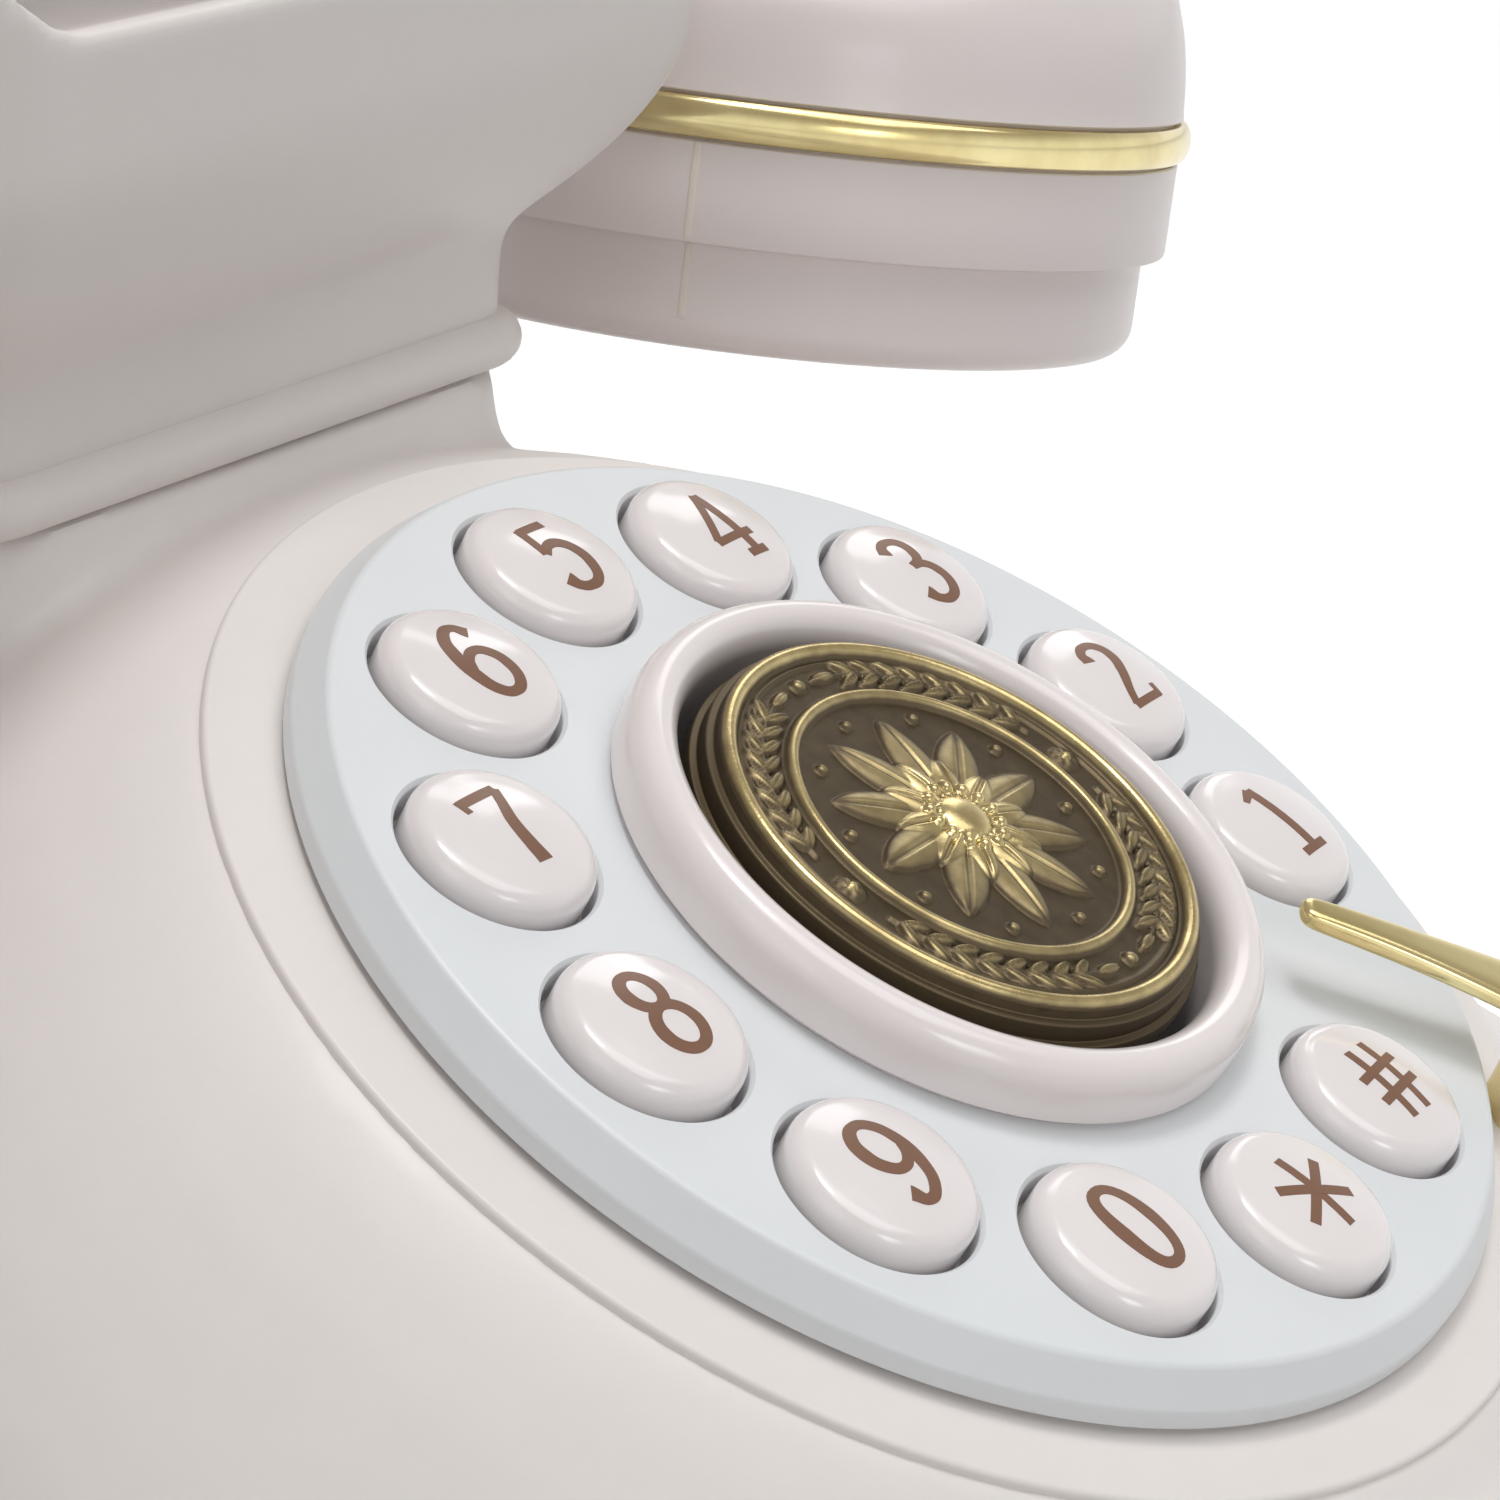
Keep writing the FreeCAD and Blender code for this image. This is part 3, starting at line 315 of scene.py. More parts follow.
finishes = {}
for name, (*values, bump, coat) in plasticLooks.items():
    finishes[name] = finishMaterial(name, mouldedGrain, dict(zip(plasticSockets, values)), bump,
                                    {"Coat Weight": coat, "Coat Roughness": coatRoughness})
for name, (*values, bump) in metalLooks.items():
    finishes[name] = finishMaterial(name, metalBloom, dict(zip(metalSockets, values)), bump, {"Metallic": 1.0})

# Aged brass: the relief attribute is 0 in the sunk field and 1 on the highest points

agedLook = {
    "deep": (0.044, 0.033, 0.021, 1),
    "field": (0.118, 0.091, 0.056, 1),
    "rubbed": ((0.66, 0.54, 0.27, 1), (0.42, 0.33, 0.16, 1), 420.0, 0.26, 0.16),
    "bump": (0.12, 0.0001),
    "fieldRange": (-0.25, 0.10),
    "rubbedRange": (0.35, 0.95),
    "cloudScale": 700.0, "cloudShare": 0.35,
    "dullRoughness": 0.46, "polish": 0.22,
}


def agedBrass(look):
    material = finishMaterial("aged_brass", metalBloom, dict(zip(metalSockets, look["rubbed"])), look["bump"],
                              {"Metallic": 1.0})
    tree = material.node_tree
    principled = tree.nodes["Principled BSDF"]
    polished = principled.inputs["Base Color"].links[0].from_socket
    relief = addNode(tree, "ShaderNodeAttribute", attribute_name="relief").outputs["Fac"]
    cloud = noiseNode(tree, {"Scale": look["cloudScale"], "Detail": 4.0})
    patch = mathNode(tree, "MULTIPLY", mathNode(tree, "SUBTRACT", cloud, 0.5), look["cloudShare"])
    worn = mathNode(tree, "ADD", relief, patch)
    low, rub = [addNode(tree, "ShaderNodeMapRange", {0: worn, "From Min": look[key][0], "From Max": look[key][1]})
                .outputs[0] for key in ("fieldRange", "rubbedRange")]
    under = mixColour(tree, low, look["deep"], look["field"])
    tree.links.new(mixColour(tree, rub, under, polished), principled.inputs["Base Color"])
    shine = mathNode(tree, "MULTIPLY", rub, look["polish"])
    tree.links.new(mathNode(tree, "SUBTRACT", look["dullRoughness"], shine), principled.inputs["Roughness"])
    return material


finishes["aged_brass"] = agedBrass(agedLook)

for part in frame["record"]["subparts"]:
    for holder in frame["nodes"][part["node"]].material_slots:
        holder.material = finishes[part["material_slot"]]
print("finishes made:", len(finishes))

# Modelling helpers


def roundOff(bm, geom, offset, segments, affect="EDGES"):
    bmesh.ops.bevel(bm, geom=geom, offset=offset, offset_type="OFFSET", affect=affect, segments=segments,
                    profile=0.5, material=-1, clamp_overlap=affect == "EDGES")


def drawProfile(points, closed=False):
    # each point is a radius and a height, and where its corner is rounded also that radius and its steps
    bm = bmesh.new()
    verts = [bm.verts.new((p[0], 0, p[1])) for p in points]
    for first, second in zip(verts, verts[1:] + verts[:1] if closed else verts[1:]):
        bm.edges.new((first, second))
    for vert, point in zip(verts, points):
        if len(point) > 2:
            roundOff(bm, [vert], point[2], point[3], "VERTICES")
    return bm


def mergeDoubles(bm):
    bmesh.ops.remove_doubles(bm, verts=bm.verts, dist=0.001)
    bmesh.ops.recalc_face_normals(bm, faces=bm.faces)
    return bm


def turnProfile(points, steps, closed=False):
    bm = drawProfile(points, closed)
    bmesh.ops.spin(bm, geom=list(bm.verts) + list(bm.edges), cent=(0, 0, 0), axis=(0, 0, 1), dvec=(0, 0, 0),
                   angle=2 * math.pi, steps=steps, use_merge=True, use_duplicate=False)
    return mergeDoubles(bm)


def loftRings(bm, rings, capped=True):
    loops = []
    for ring in rings:
        made = bmesh.ops.create_circle(bm, segments=len(ring), radius=1)["verts"]
        for vert, place in zip(made, ring):
            vert.co = place
        loops.append(list({edge for vert in made for edge in vert.link_edges}))
    for first, second in zip(loops, loops[1:]):
        bmesh.ops.bridge_loops(bm, edges=first + second)
    if capped:
        bmesh.ops.holes_fill(bm, edges=[e for e in loops[0] + loops[-1] if e.is_boundary], sides=0)
    bmesh.ops.recalc_face_normals(bm, faces=bm.faces)


def addModifier(made, name, kind, **settings):
    modifier = made.modifiers.new(name, kind)
    for setting, value in settings.items():
        setattr(modifier, setting, value)


def settled(made):
    graph = bpy.context.evaluated_depsgraph_get()
    mesh = bpy.data.meshes.new_from_object(made.evaluated_get(graph))
    bpy.data.objects.remove(made)
    bm = bmesh.new()
    bm.from_mesh(mesh)
    bpy.data.meshes.remove(mesh)
    return bm


def carve(bm, tool, operation="DIFFERENCE"):
    body = toObject(bm, "carved")
    cutter = toObject(tool, "cutter")
    addModifier(body, "carve", "BOOLEAN", operation=operation, solver="EXACT", object=cutter)
    result = settled(body)
    bpy.data.objects.remove(cutter)
    return result


def soften(bm, look):
    body = toObject(bm, "soft")
    addModifier(body, "skin", "REMESH", mode="VOXEL", voxel_size=look["voxel"])
    addModifier(body, "smooth", "SMOOTH", factor=look["softFactor"], iterations=look["softRounds"])
    return settled(body)


def blockForm(width, depth, height, place):
    bm = bmesh.new()
    bmesh.ops.create_cube(bm, size=1)
    bmesh.ops.scale(bm, vec=(width, depth, height), verts=bm.verts)
    bmesh.ops.translate(bm, vec=place, verts=bm.verts)
    return bm


def discForm(radius, low, high, steps=96):
    return turnProfile([(0, low), (radius, low), (radius, high), (0, high)], steps)


def placed(bm, matrix):
    bmesh.ops.transform(bm, matrix=matrix, verts=bm.verts)
    return bm


def onCircle(radius, angle):
    return Matrix.Translation((radius * math.cos(angle), radius * math.sin(angle), 0))


def addTo(bm, other):
    mesh = bpy.data.meshes.new("part")
    other.to_mesh(mesh)
    other.free()
    bm.from_mesh(mesh)
    bpy.data.meshes.remove(mesh)
    return bm


def finishPiece(bm, name, body, slot, stands=(), place=Matrix.Identity(4), sharp=35, finish=None):
    placed(bm, Matrix.Scale(mm, 4) @ place)
    for face in bm.faces:
        face.smooth = True
    for edge in bm.edges:
        edge.smooth = edge.calc_face_angle(0) < math.radians(sharp)
    piece = toObject(bm, name)
    piece.data.materials.append(finishes[finish or slot])
    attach(piece, body)
    if stands:
        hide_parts(*stands)
    print("piece", name, "with", len(piece.data.polygons), "faces")
    return piece


# Keys: a crowned cap on its flange and stem, with a printed figure that follows the crown

keyLook = {
    "circle": 28.7, "firstAngle": -20.4, "pitch": 28.45,
    "radius": 5.5, "top": 2.0, "crown": 0.5, "flat": 4.25, "edgeDrop": 0.62, "edgeRound": (1.15, 8),
    "crownRadii": (4.4, 3.8, 3.1, 2.4, 1.6, 0.8, 0.0),
    "flangeRadius": 6.3, "flangeTop": -2.5, "flangeFoot": -3.7, "stem": 2.2, "stemFoot": -5.5,
    "steps": 96, "figureProud": 0.025, "figureDeep": 0.15, "figureLayer": 0.004, "figureScale": 0.89,
}

bigStroke = 0.92
thinStroke = 0.68
barStroke = 0.75

# A stroke: kind, width, points from the key's centre with an optional third number, the swell there
figureStrokes = {
    "1": [("line", bigStroke, [(0.15, 3.15), (0.15, -3.05)]),
          ("curve", thinStroke, [(0.1, 3.1, 0.9), (-0.45, 2.75), (-1.25, 2.35, 0.7)]),
          ("line", thinStroke, [(-1.35, -3.0), (1.6, -3.0)])],
    "2": [("curve", bigStroke, [(-1.35, 1.75, 1.25), (-1.1, 2.65, 0.85), (0.05, 3.1, 0.8), (1.2, 2.45, 1.1),
                                (1.3, 1.4, 1.15), (0.45, -0.05), (-0.8, -1.6, 0.8), (-1.5, -2.8, 0.75)]),
          ("line", 0.66, [(-1.65, -2.85), (1.75, -2.85)]), ("line", 0.5, [(1.7, -3.1), (1.85, -1.95)])],
    "3": [("curve", bigStroke, [(-1.35, 2.15, 1.2), (-0.85, 2.9, 0.85), (0.1, 3.12, 0.8), (1.15, 2.5, 1.1),
                                (1.15, 1.3, 1.1), (0.5, 0.55, 0.85), (-0.4, 0.35, 0.75)]),
          ("curve", bigStroke, [(-0.4, 0.35, 0.75), (0.75, 0.2, 0.9), (1.55, -0.8, 1.15), (1.4, -2.2, 1.1),
                                (0.2, -3.1, 0.85), (-1.0, -2.85, 0.85), (-1.6, -1.95, 1.3)])],
    "4": [("line", thinStroke, [(0.85, 3.15), (-1.85, -1.2)]), ("line", thinStroke, [(-2.0, -1.3), (2.05, -1.3)]),
          ("line", 0.82, [(0.85, 3.15), (0.85, -3.05)]), ("line", thinStroke, [(-0.15, -3.0), (1.85, -3.0)])],
    "5": [("line", 0.72, [(-1.1, 2.85), (1.45, 2.85)]), ("line", thinStroke, [(-1.05, 3.1), (-1.2, 0.35)]),
          ("curve", bigStroke, [(-1.2, 0.35, 0.75), (-0.3, 0.95, 0.85), (0.8, 0.75), (1.55, -0.3, 1.15),
                                (1.55, -1.6, 1.15), (0.8, -2.85, 0.9), (-0.3, -3.1, 0.8), (-1.1, -2.8, 0.9),
                                (-1.6, -1.95, 1.3)])],
    "6": [("curve", bigStroke, [(1.35, 2.15, 1.2), (0.5, 3.08, 0.8), (-0.7, 2.6, 0.95), (-1.5, 1.0, 1.15),
                                (-1.6, -1.0, 1.15), (-0.9, -2.65, 0.95), (0.1, -3.1, 0.8), (1.15, -2.6, 1.0),
                                (1.6, -1.25, 1.15), (1.1, 0.15), (0.1, 0.7, 0.8), (-0.9, 0.3, 0.85),
                                (-1.5, -0.6, 0.9)])],
    "7": [("line", 0.5, [(-1.75, 3.15), (-1.75, 1.95)]), ("line", 0.76, [(-1.8, 2.8), (1.7, 2.8)]),
          ("curve", bigStroke, [(1.65, 2.8, 0.8), (0.9, 1.5, 0.85), (0.2, 0.2), (-0.2, -1.6, 1.15),
                                (-0.3, -3.1, 1.3)])],
    "8": [("loop", bigStroke, [(0, 3.1, 0.8), (1.25, 1.68, 1.15), (0, 0.25, 0.8), (-1.25, 1.68, 1.15)]),
          ("loop", bigStroke, [(0, 0.25, 0.8), (1.6, -1.42, 1.15), (0, -3.1, 0.8), (-1.6, -1.42, 1.15)])],
    "0": [("loop", bigStroke, [(0, 3.1, 0.8), (1.6, 0, 1.25), (0, -3.1, 0.8), (-1.6, 0, 1.25)])],
    "star": [("line", barStroke, points) for points in
             ([(0, 3.0), (0, -3.0)], [(2.6, 1.5), (-2.6, -1.5)], [(-2.6, 1.5), (2.6, -1.5)])],
    "hash": [("line", thinStroke, points) for points in
             ([(-0.65, 3.05), (-1.2, -3.0)], [(1.2, 3.0), (0.65, -3.05)],
              [(-2.35, 0.85), (2.45, 1.05)], [(-2.45, -1.05), (2.35, -0.85)])],
}
figureStrokes["9"] = [(kind, width, [(-p[0], -p[1]) + tuple(p[2:]) for p in points])
                      for kind, width, points in figureStrokes["6"]]


def keySpot(look, index):
    return onCircle(look["circle"], math.radians(look["firstAngle"] + index * look["pitch"]))


def keyCrown(look, radius):
    ball = (look["flat"] ** 2 + look["crown"] ** 2) / (2 * look["crown"])
    return look["top"] - ball + math.sqrt(max(ball ** 2 - radius ** 2, 0))


def strokeForm(kind, width, points, deep):
    section = bpy.data.curves.new("section", "CURVE")
    section.dimensions = "2D"
    corners = section.splines.new("POLY")
    corners.points.add(3)
    half = width / 2
    for point, (x, y) in zip(corners.points, ((-half, -deep), (half, -deep), (half, 0), (-half, 0))):
        point.co = (x, y, 0, 1)
    corners.use_cyclic_u = True
    holder = linked("section", section)
    line = bpy.data.curves.new("stroke", "CURVE")
    line.dimensions = "3D"
    line.twist_mode = "Z_UP"
    line.resolution_u = 10
    line.bevel_mode = "OBJECT"
    line.bevel_object = holder
    line.use_fill_caps = True
    spline = line.splines.new("BEZIER")
    spline.bezier_points.add(len(points) - 1)
    for knot, point in zip(spline.bezier_points, points):
        knot.co = (point[0], point[1], 0)
        knot.radius = point[2] if len(point) > 2 else 1.0
        knot.handle_left_type = knot.handle_right_type = "VECTOR" if kind == "line" else "AUTO"
    spline.use_cyclic_u = kind == "loop"
    bm = settled(linked("stroke", line))
    bpy.data.objects.remove(holder)
    bmesh.ops.remove_doubles(bm, verts=bm.verts, dist=0.0005)
    # long straight strokes get enough points to follow the crown
    bmesh.ops.subdivide_edges(bm, edges=[e for e in bm.edges if e.calc_length() > 0.5], cuts=5, use_grid_fill=True)
    return bm


def makeKey(look, index, name):
    edge = [(look["radius"], look["flangeTop"]), (look["radius"], look["top"] - look["edgeDrop"]) + look["edgeRound"]]
    crown = [(r, keyCrown(look, r)) for r in look["crownRadii"]]
    foot = [(0, look["stemFoot"]), (look["stem"], look["stemFoot"]), (look["stem"], look["flangeFoot"]),
            (look["flangeRadius"], look["flangeFoot"]), (look["flangeRadius"], look["flangeTop"])]
    bm = turnProfile(foot + edge + crown, look["steps"])
    for order, (kind, width, points) in enumerate(figureStrokes[name]):
        stroke = strokeForm(kind, width, points, look["figureDeep"])
        bmesh.ops.scale(stroke, vec=(look["figureScale"], look["figureScale"], 1), verts=stroke.verts)
        for vert in stroke.verts:
            reach = math.hypot(vert.co.x, vert.co.y)
            vert.co.z += keyCrown(look, reach) + look["figureProud"] + order * look["figureLayer"]
        bmesh.ops.recalc_face_normals(stroke, faces=stroke.faces)
        for face in stroke.faces:
            face.material_index = 1
        addTo(bm, stroke)
    piece = finishPiece(bm, "keyCap_" + name, "key_" + name, "key_white", ["key_" + name],
                        dialFrame @ keySpot(look, index))
    piece.data.materials.append(finishes["digit_brown"])


keyNames = ["1", "2", "3", "4", "5", "6", "7", "8", "9", "0", "star", "hash"]
for index, name in enumerate(keyNames):
    makeKey(keyLook, index, name)

# Dial plate: a bevelled disc with twelve lipped holes, its spigot and four screw pillars

plateLook = {
    "radius": 38.0, "foot": -3.4, "bevelFoot": -2.15, "bevelTop": 36.6, "under": -2.4,
    "spigot": 37.0, "spigotInner": 35.4, "seat": -5.5, "centreHole": 18.7,
    "hole": 5.88, "lip": 0.24, "lipSoft": 0.1, "pillar": 2.6, "pillarCircle": 21.8, "pillarFoot": -8.4,
    "pillarsAt": (2.5, 5.5, 8.5, 11.5),   # counted in keys from the first
    "steps": 240,
}


def makePlate(look):
    bm = turnProfile([(look["centreHole"], look["under"]), (look["spigotInner"], look["under"]),
                      (look["spigotInner"], look["seat"]), (look["spigot"], look["seat"]),
                      (look["spigot"], look["foot"]), (look["radius"], look["foot"], 0.12, 2),
                      (look["radius"], look["bevelFoot"], 0.2, 3), (look["bevelTop"], 0, 0.3, 4),
                      (look["centreHole"], 0)], look["steps"], closed=True)
    holes = bmesh.new()
    for index in range(len(keyNames)):
        lip = turnProfile([(0, look["seat"]), (look["hole"], look["seat"]),
                           (look["hole"], -look["lip"], look["lipSoft"], 3),
                           (look["hole"] + look["lip"] + 0.2, 0.2), (0, 0.2)], 96)
        addTo(holes, placed(lip, keySpot(keyLook, index)))
    bm = carve(bm, holes)
    for between in look["pillarsAt"]:
        spot = onCircle(look["pillarCircle"], math.radians(keyLook["firstAngle"] + keyLook["pitch"] * between))
        addTo(bm, placed(discForm(look["pillar"], look["pillarFoot"], look["under"] + 0.5, 32), spot))
    bmesh.ops.dissolve_degenerate(bm, dist=0.0005, edges=bm.edges)
    piece = finishPiece(bm, "dialPlate", "base", "dial_white", ["dial_plate"], dialFrame, sharp=28)
    addModifier(piece, "even", "WEIGHTED_NORMAL", keep_sharp=True, weight=80)


makePlate(plateLook)

# Centre ring: round-topped, with a skirt below the plate

ringLook = {"inner": 17.0, "outer": 20.1, "height": 4.2, "skirt": 18.6, "seat": -5.5, "steps": 240,
            "notchAngle": -72.0, "notch": (0.55, 0.8, 0.45)}


def makeCentreRing(look):
    middle = (look["inner"] + look["outer"]) / 2
    half = (look["outer"] - look["inner"]) / 2
    rise = look["height"] / 2
    arch = [(middle + half * math.cos(math.radians(a)), rise + rise * math.sin(math.radians(a)))
            for a in range(0, 181, 12)]
    points = [(look["inner"], look["seat"]), (look["skirt"], look["seat"]), (look["skirt"], 0.02),
              (look["outer"] - 0.5, 0.02), (look["outer"] - 0.45, 0.12), (look["outer"] - 0.02, 0.5)] + arch[1:]
    bm = turnProfile(points, look["steps"], closed=True)
    angle = math.radians(look["notchAngle"])
    notch = placed(blockForm(*look["notch"], (look["outer"], 0, 0.1)), Matrix.Rotation(angle, 4, "Z"))
    bm = carve(bm, notch)
    finishPiece(bm, "centreRing", "base", "ring_ivory", ["centre_ring"], dialFrame)


makeCentreRing(ringLook)

# Finger stop: a gilt blade over the dial, its section a soft-edged bar

stopLook = {
    "tip": (15.17, -16.16), "angle": -54.3, "points": 40,
    # distance from the tip, height of the middle, half width, half thickness, direction of the path in degrees
    "stations": [(0.0, 4.55, 0.12, 0.10, 0), (0.07, 4.55, 0.50, 0.34, 0), (0.25, 4.55, 0.80, 0.52, 0),
                 (0.6, 4.56, 1.00, 0.62, 0), (1.3, 4.57, 1.08, 0.66, 0), (3.0, 4.60, 1.15, 0.68, 0),
                 (5.0, 4.62, 1.25, 0.70, 0), (7.0, 4.62, 1.38, 0.70, 0), (9.0, 4.60, 1.55, 0.70, -1),
                 (11.0, 4.55, 1.75, 0.70, -2), (13.0, 4.48, 1.95, 0.70, -3), (14.5, 4.38, 2.10, 0.70, -6),
                 (15.8, 4.15, 2.20, 0.72, -15), (16.8, 3.65, 2.25, 0.74, -36), (17.4, 2.85, 2.25, 0.74, -60),
                 (17.65, 1.9, 2.25, 0.74, -74), (17.85, 0.6, 2.25, 0.74, -80), (18.1, -1.2, 2.25, 0.74, -80),
                 (18.35, -3.0, 2.25, 0.74, -82), (18.45, -3.9, 2.25, 0.74, -88), (18.45, -6.2, 2.25, 0.74, -90)],
}


def softBar(halfWidth, halfThick, points, power=3.4):
    ring = []
    for index in range(points):
        angle = 2 * math.pi * index / points
        c, s = math.cos(angle), math.sin(angle)
        ring.append((math.copysign(abs(c) ** (2 / power), c) * halfWidth,
                     math.copysign(abs(s) ** (2 / power), s) * halfThick))
    return ring


def makeFingerStop(look):
    rings = []
    for out, height, halfWidth, halfThick, way in look["stations"]:
        slope = math.radians(way)
        rings.append([(out - v * math.sin(slope), u, height + v * math.cos(slope))
                      for u, v in softBar(halfWidth, halfThick, look["points"])])
    bm = bmesh.new()
    loftRings(bm, rings)
    seat = Matrix.Translation(look["tip"] + (0,)) @ Matrix.Rotation(math.radians(look["angle"]), 4, "Z")
    piece = finishPiece(bm, "fingerStop", "base", "gilt_brass", ["finger_stop"], dialFrame @ seat, sharp=60)
    addModifier(piece, "smooth", "SUBSURF", levels=2, render_levels=2)


makeFingerStop(stopLook)

# Medallion: a stepped brass button with its relief raised from a fine turned disc

medalLook = {
    "radius": 15.1, "top": 4.6, "under": 1.0, "rim": 1.1, "sink": 0.6,
    "circles": [(10.6, 0.45, 0.5), (13.55, 0.2, 0.16)],   # raised circles: radius, half width, height
    "stepOne": 15.6, "stepTwo": 16.1, "hub": 5.0, "hubFoot": -4.4, "presser": 1.5, "presserOut": 10.0,
    "presserFoot": -5.7, "discSteps": 560, "ringGap": 0.13,
    "petals": 10, "petalMiddle": 0.56,
    "petalRows": [(8.6, 1.5, 0.62 * 0.72, 0.5), (5.2, 1.15, 0.62, 0.0)],   # reach, width, height, turn
    "seedCircle": 8.75, "seed": (0.42, 0.34),   # here and below a round form is its radius and height
    "beads": 14, "beadCircle": 2.35, "bead": (0.46, 0.5), "beadFloor": 0.34, "boss": (1.75, 0.62), "bossFloor": 0.3,
    "sprayCircle": 12.45, "sprayFrom": 16.0, "sprayTo": 74.0, "stemPast": 4.0, "stem": (0.16, 0.22),
    "leafStep": 7.3, "leafSlant": 34.0, "leafAlong": 0.62, "leafAside": 0.52,
    "leaf": (1.12, 0.44, 0.40), "budPast": 5.0, "bud": (1.15, 0.42, 0.4),   # half length, half width, height
    "flower": (1.0, 0.34), "flowerDip": 0.45, "flowerHeart": (0.42, 0.52), "poleBead": (0.55, 0.42),
}


def ridge(distance, half):
    return np.sqrt(np.maximum(1 - (distance / half) ** 2, 0))


def lens(along, across, halfLong, halfWide, height):
    inside = 1 - (along / halfLong) ** 2
    wide = np.maximum(halfWide * np.maximum(inside, 0) ** 0.8, 1e-6)
    rise = ridge(across, wide) * np.maximum(inside, 0) ** 0.35
    vein = 1 - 0.35 * np.exp(-(across / (0.12 * halfWide + 0.02)) ** 2)
    return height * rise * vein


def dome(x, y, radius, height):
    return height * ridge(np.hypot(x, y), radius)


def fromSpoke(angle, count, turn=0.0):
    pitch = 2 * math.pi / count
    return ((angle / pitch + turn) % 1.0 - 0.5) * pitch


def rimRelief(look, reach):
    yield look["sink"] * ridge(reach - look["radius"] + look["rim"] / 2, look["rim"] / 2)
    for circle, half, height in look["circles"]:
        yield height * ridge(reach - circle, half)


def rosetteRelief(look, x, y, reach, angle):
    # two rows of petals round a beaded boss, and small seeds between the outer petals
    for reachOut, wide, height, turn in look["petalRows"]:
        bend = fromSpoke(angle, look["petals"], turn)
        middle = reachOut * look["petalMiddle"]
        yield lens(reach * np.cos(bend) - middle, reach * np.sin(bend), reachOut - middle, wide, height)
    bend = fromSpoke(angle, look["beads"])
    bead = dome(reach * np.cos(bend) - look["beadCircle"], reach * np.sin(bend), *look["bead"])
    yield (look["beadFloor"] + bead) * (np.abs(reach - look["beadCircle"]) < look["bead"][0])
    yield look["bossFloor"] * (reach <= look["boss"][0]) + dome(x, y, *look["boss"])
    bend = fromSpoke(angle, look["petals"])
    yield dome(reach * np.cos(bend) - look["seedCircle"], reach * np.sin(bend), *look["seed"])


def sprayRelief(look, reach, angle):
    # four sprays of leaves between the two rings, folded onto one quarter
    circle = look["sprayCircle"]
    folded = np.abs(np.degrees(angle)) % 180.0
    folded = np.where(folded > 90.0, 180.0 - folded, folded)
    stem = (folded > look["sprayFrom"] - look["stemPast"]) & (folded < look["sprayTo"])
    yield look["stem"][1] * ridge(reach - circle, look["stem"][0]) * stem
    slant = math.radians(look["leafSlant"])
    at = look["sprayFrom"]
    while at <= look["sprayTo"]:
        bend = np.radians(folded) - math.radians(at)
        u = reach * np.sin(bend) - look["leafAlong"]
        for side in (-1, 1):
            v = reach * np.cos(bend) - circle - look["leafAside"] * side
            c, s = math.cos(slant), math.sin(slant) * side
            yield lens(u * c + v * s, -u * s + v * c, *look["leaf"])
        at += look["leafStep"]
    bend = np.radians(folded) - math.radians(look["sprayTo"] + look["budPast"])
    yield lens(reach * np.sin(bend), reach * np.cos(bend) - circle, *look["bud"])


def flowerRelief(look, x, y):
    # a small six-leaved flower at each side and a bead at top and bottom
    for side in (-1, 1):
        u = x - side * look["sprayCircle"]
        leaves = np.abs(np.cos(3 * np.arctan2(y, u)))
        yield dome(u, y, *look["flower"]) * (1 - look["flowerDip"] * (1 - leaves))
        yield dome(u, y, *look["flowerHeart"])
        yield dome(x, y - side * look["sprayCircle"], *look["poleBead"])


def medalRelief(look, x, y):
    reach = np.hypot(x, y)
    angle = np.arctan2(y, x)
    lift = np.zeros_like(x)
    for forms in (rimRelief(look, reach), rosetteRelief(look, x, y, reach, angle), sprayRelief(look, reach, angle),
                  flowerRelief(look, x, y)):
        for form in forms:
            lift = np.maximum(lift, form)
    return lift


def makeMedallion(look):
    floor = look["top"] - look["sink"]
    fall = (look["top"] - look["under"]) / 3
    count = int(look["radius"] / look["ringGap"])
    field = [(look["radius"] * i / count, floor) for i in range(count + 1)]
    side = [(look["radius"], look["under"] + 2 * fall, 0.1, 2),
            (look["stepOne"], look["under"] + 2 * fall, 0.14, 3), (look["stepOne"], look["under"] + fall, 0.1, 2),
            (look["stepTwo"], look["under"] + fall, 0.14, 3), (look["stepTwo"], look["under"]),
            (0, look["under"])]
    bm = turnProfile(field + side, look["discSteps"])
    layer = bm.verts.layers.float.new("relief")
    for vert in bm.verts:
        vert[layer] = 0.15
    top = [v for v in bm.verts if v.co.z > floor - 0.01]
    x = np.array([v.co.x for v in top])
    y = np.array([v.co.y for v in top])
    lift = medalRelief(look, x, y)
    for vert, rise in zip(top, lift):
        vert.co.z += float(rise)
        vert[layer] = float(rise) / look["sink"]
    addTo(bm, discForm(look["hub"], look["hubFoot"], look["under"] + 0.2, 48))
    for way in (-1, 1):
        presser = discForm(look["presser"], look["presserFoot"], look["under"] + 0.2, 32)
        addTo(bm, placed(presser, Matrix.Translation((0, way * look["presserOut"], 0))))
    finishPiece(bm, "medallionRelief", "medallion", "aged_brass", ["medallion"], dialFrame, sharp=70)


makeMedallion(medalLook)

# Handset: one smooth hollow form from bell to bell, mirrored, then parted into its two halves

handsetLook = {
    "handle": 12.5, "handleZ": 112.0, "elbow": 25.0, "wall": 2.2, "bell": 33.0,
    "bellStart": 3.0, "bellFill": 3.4, "shoulder": 8.5, "band": 8.9,
    "goldHalf": 1.55, "goldSink": 0.6, "goldGap": 0.12,
    "shares": (0.2, 0.38, 0.55, 0.72), "ringPoints": 128, "between": 7, "seam": 0.10,
    "handleRings": (0, 12, 24, 36),
    "socketWide": 7.8, "socketTall": 6.4, "socketHeight": 6.5, "socketDeep": 28.4,
}


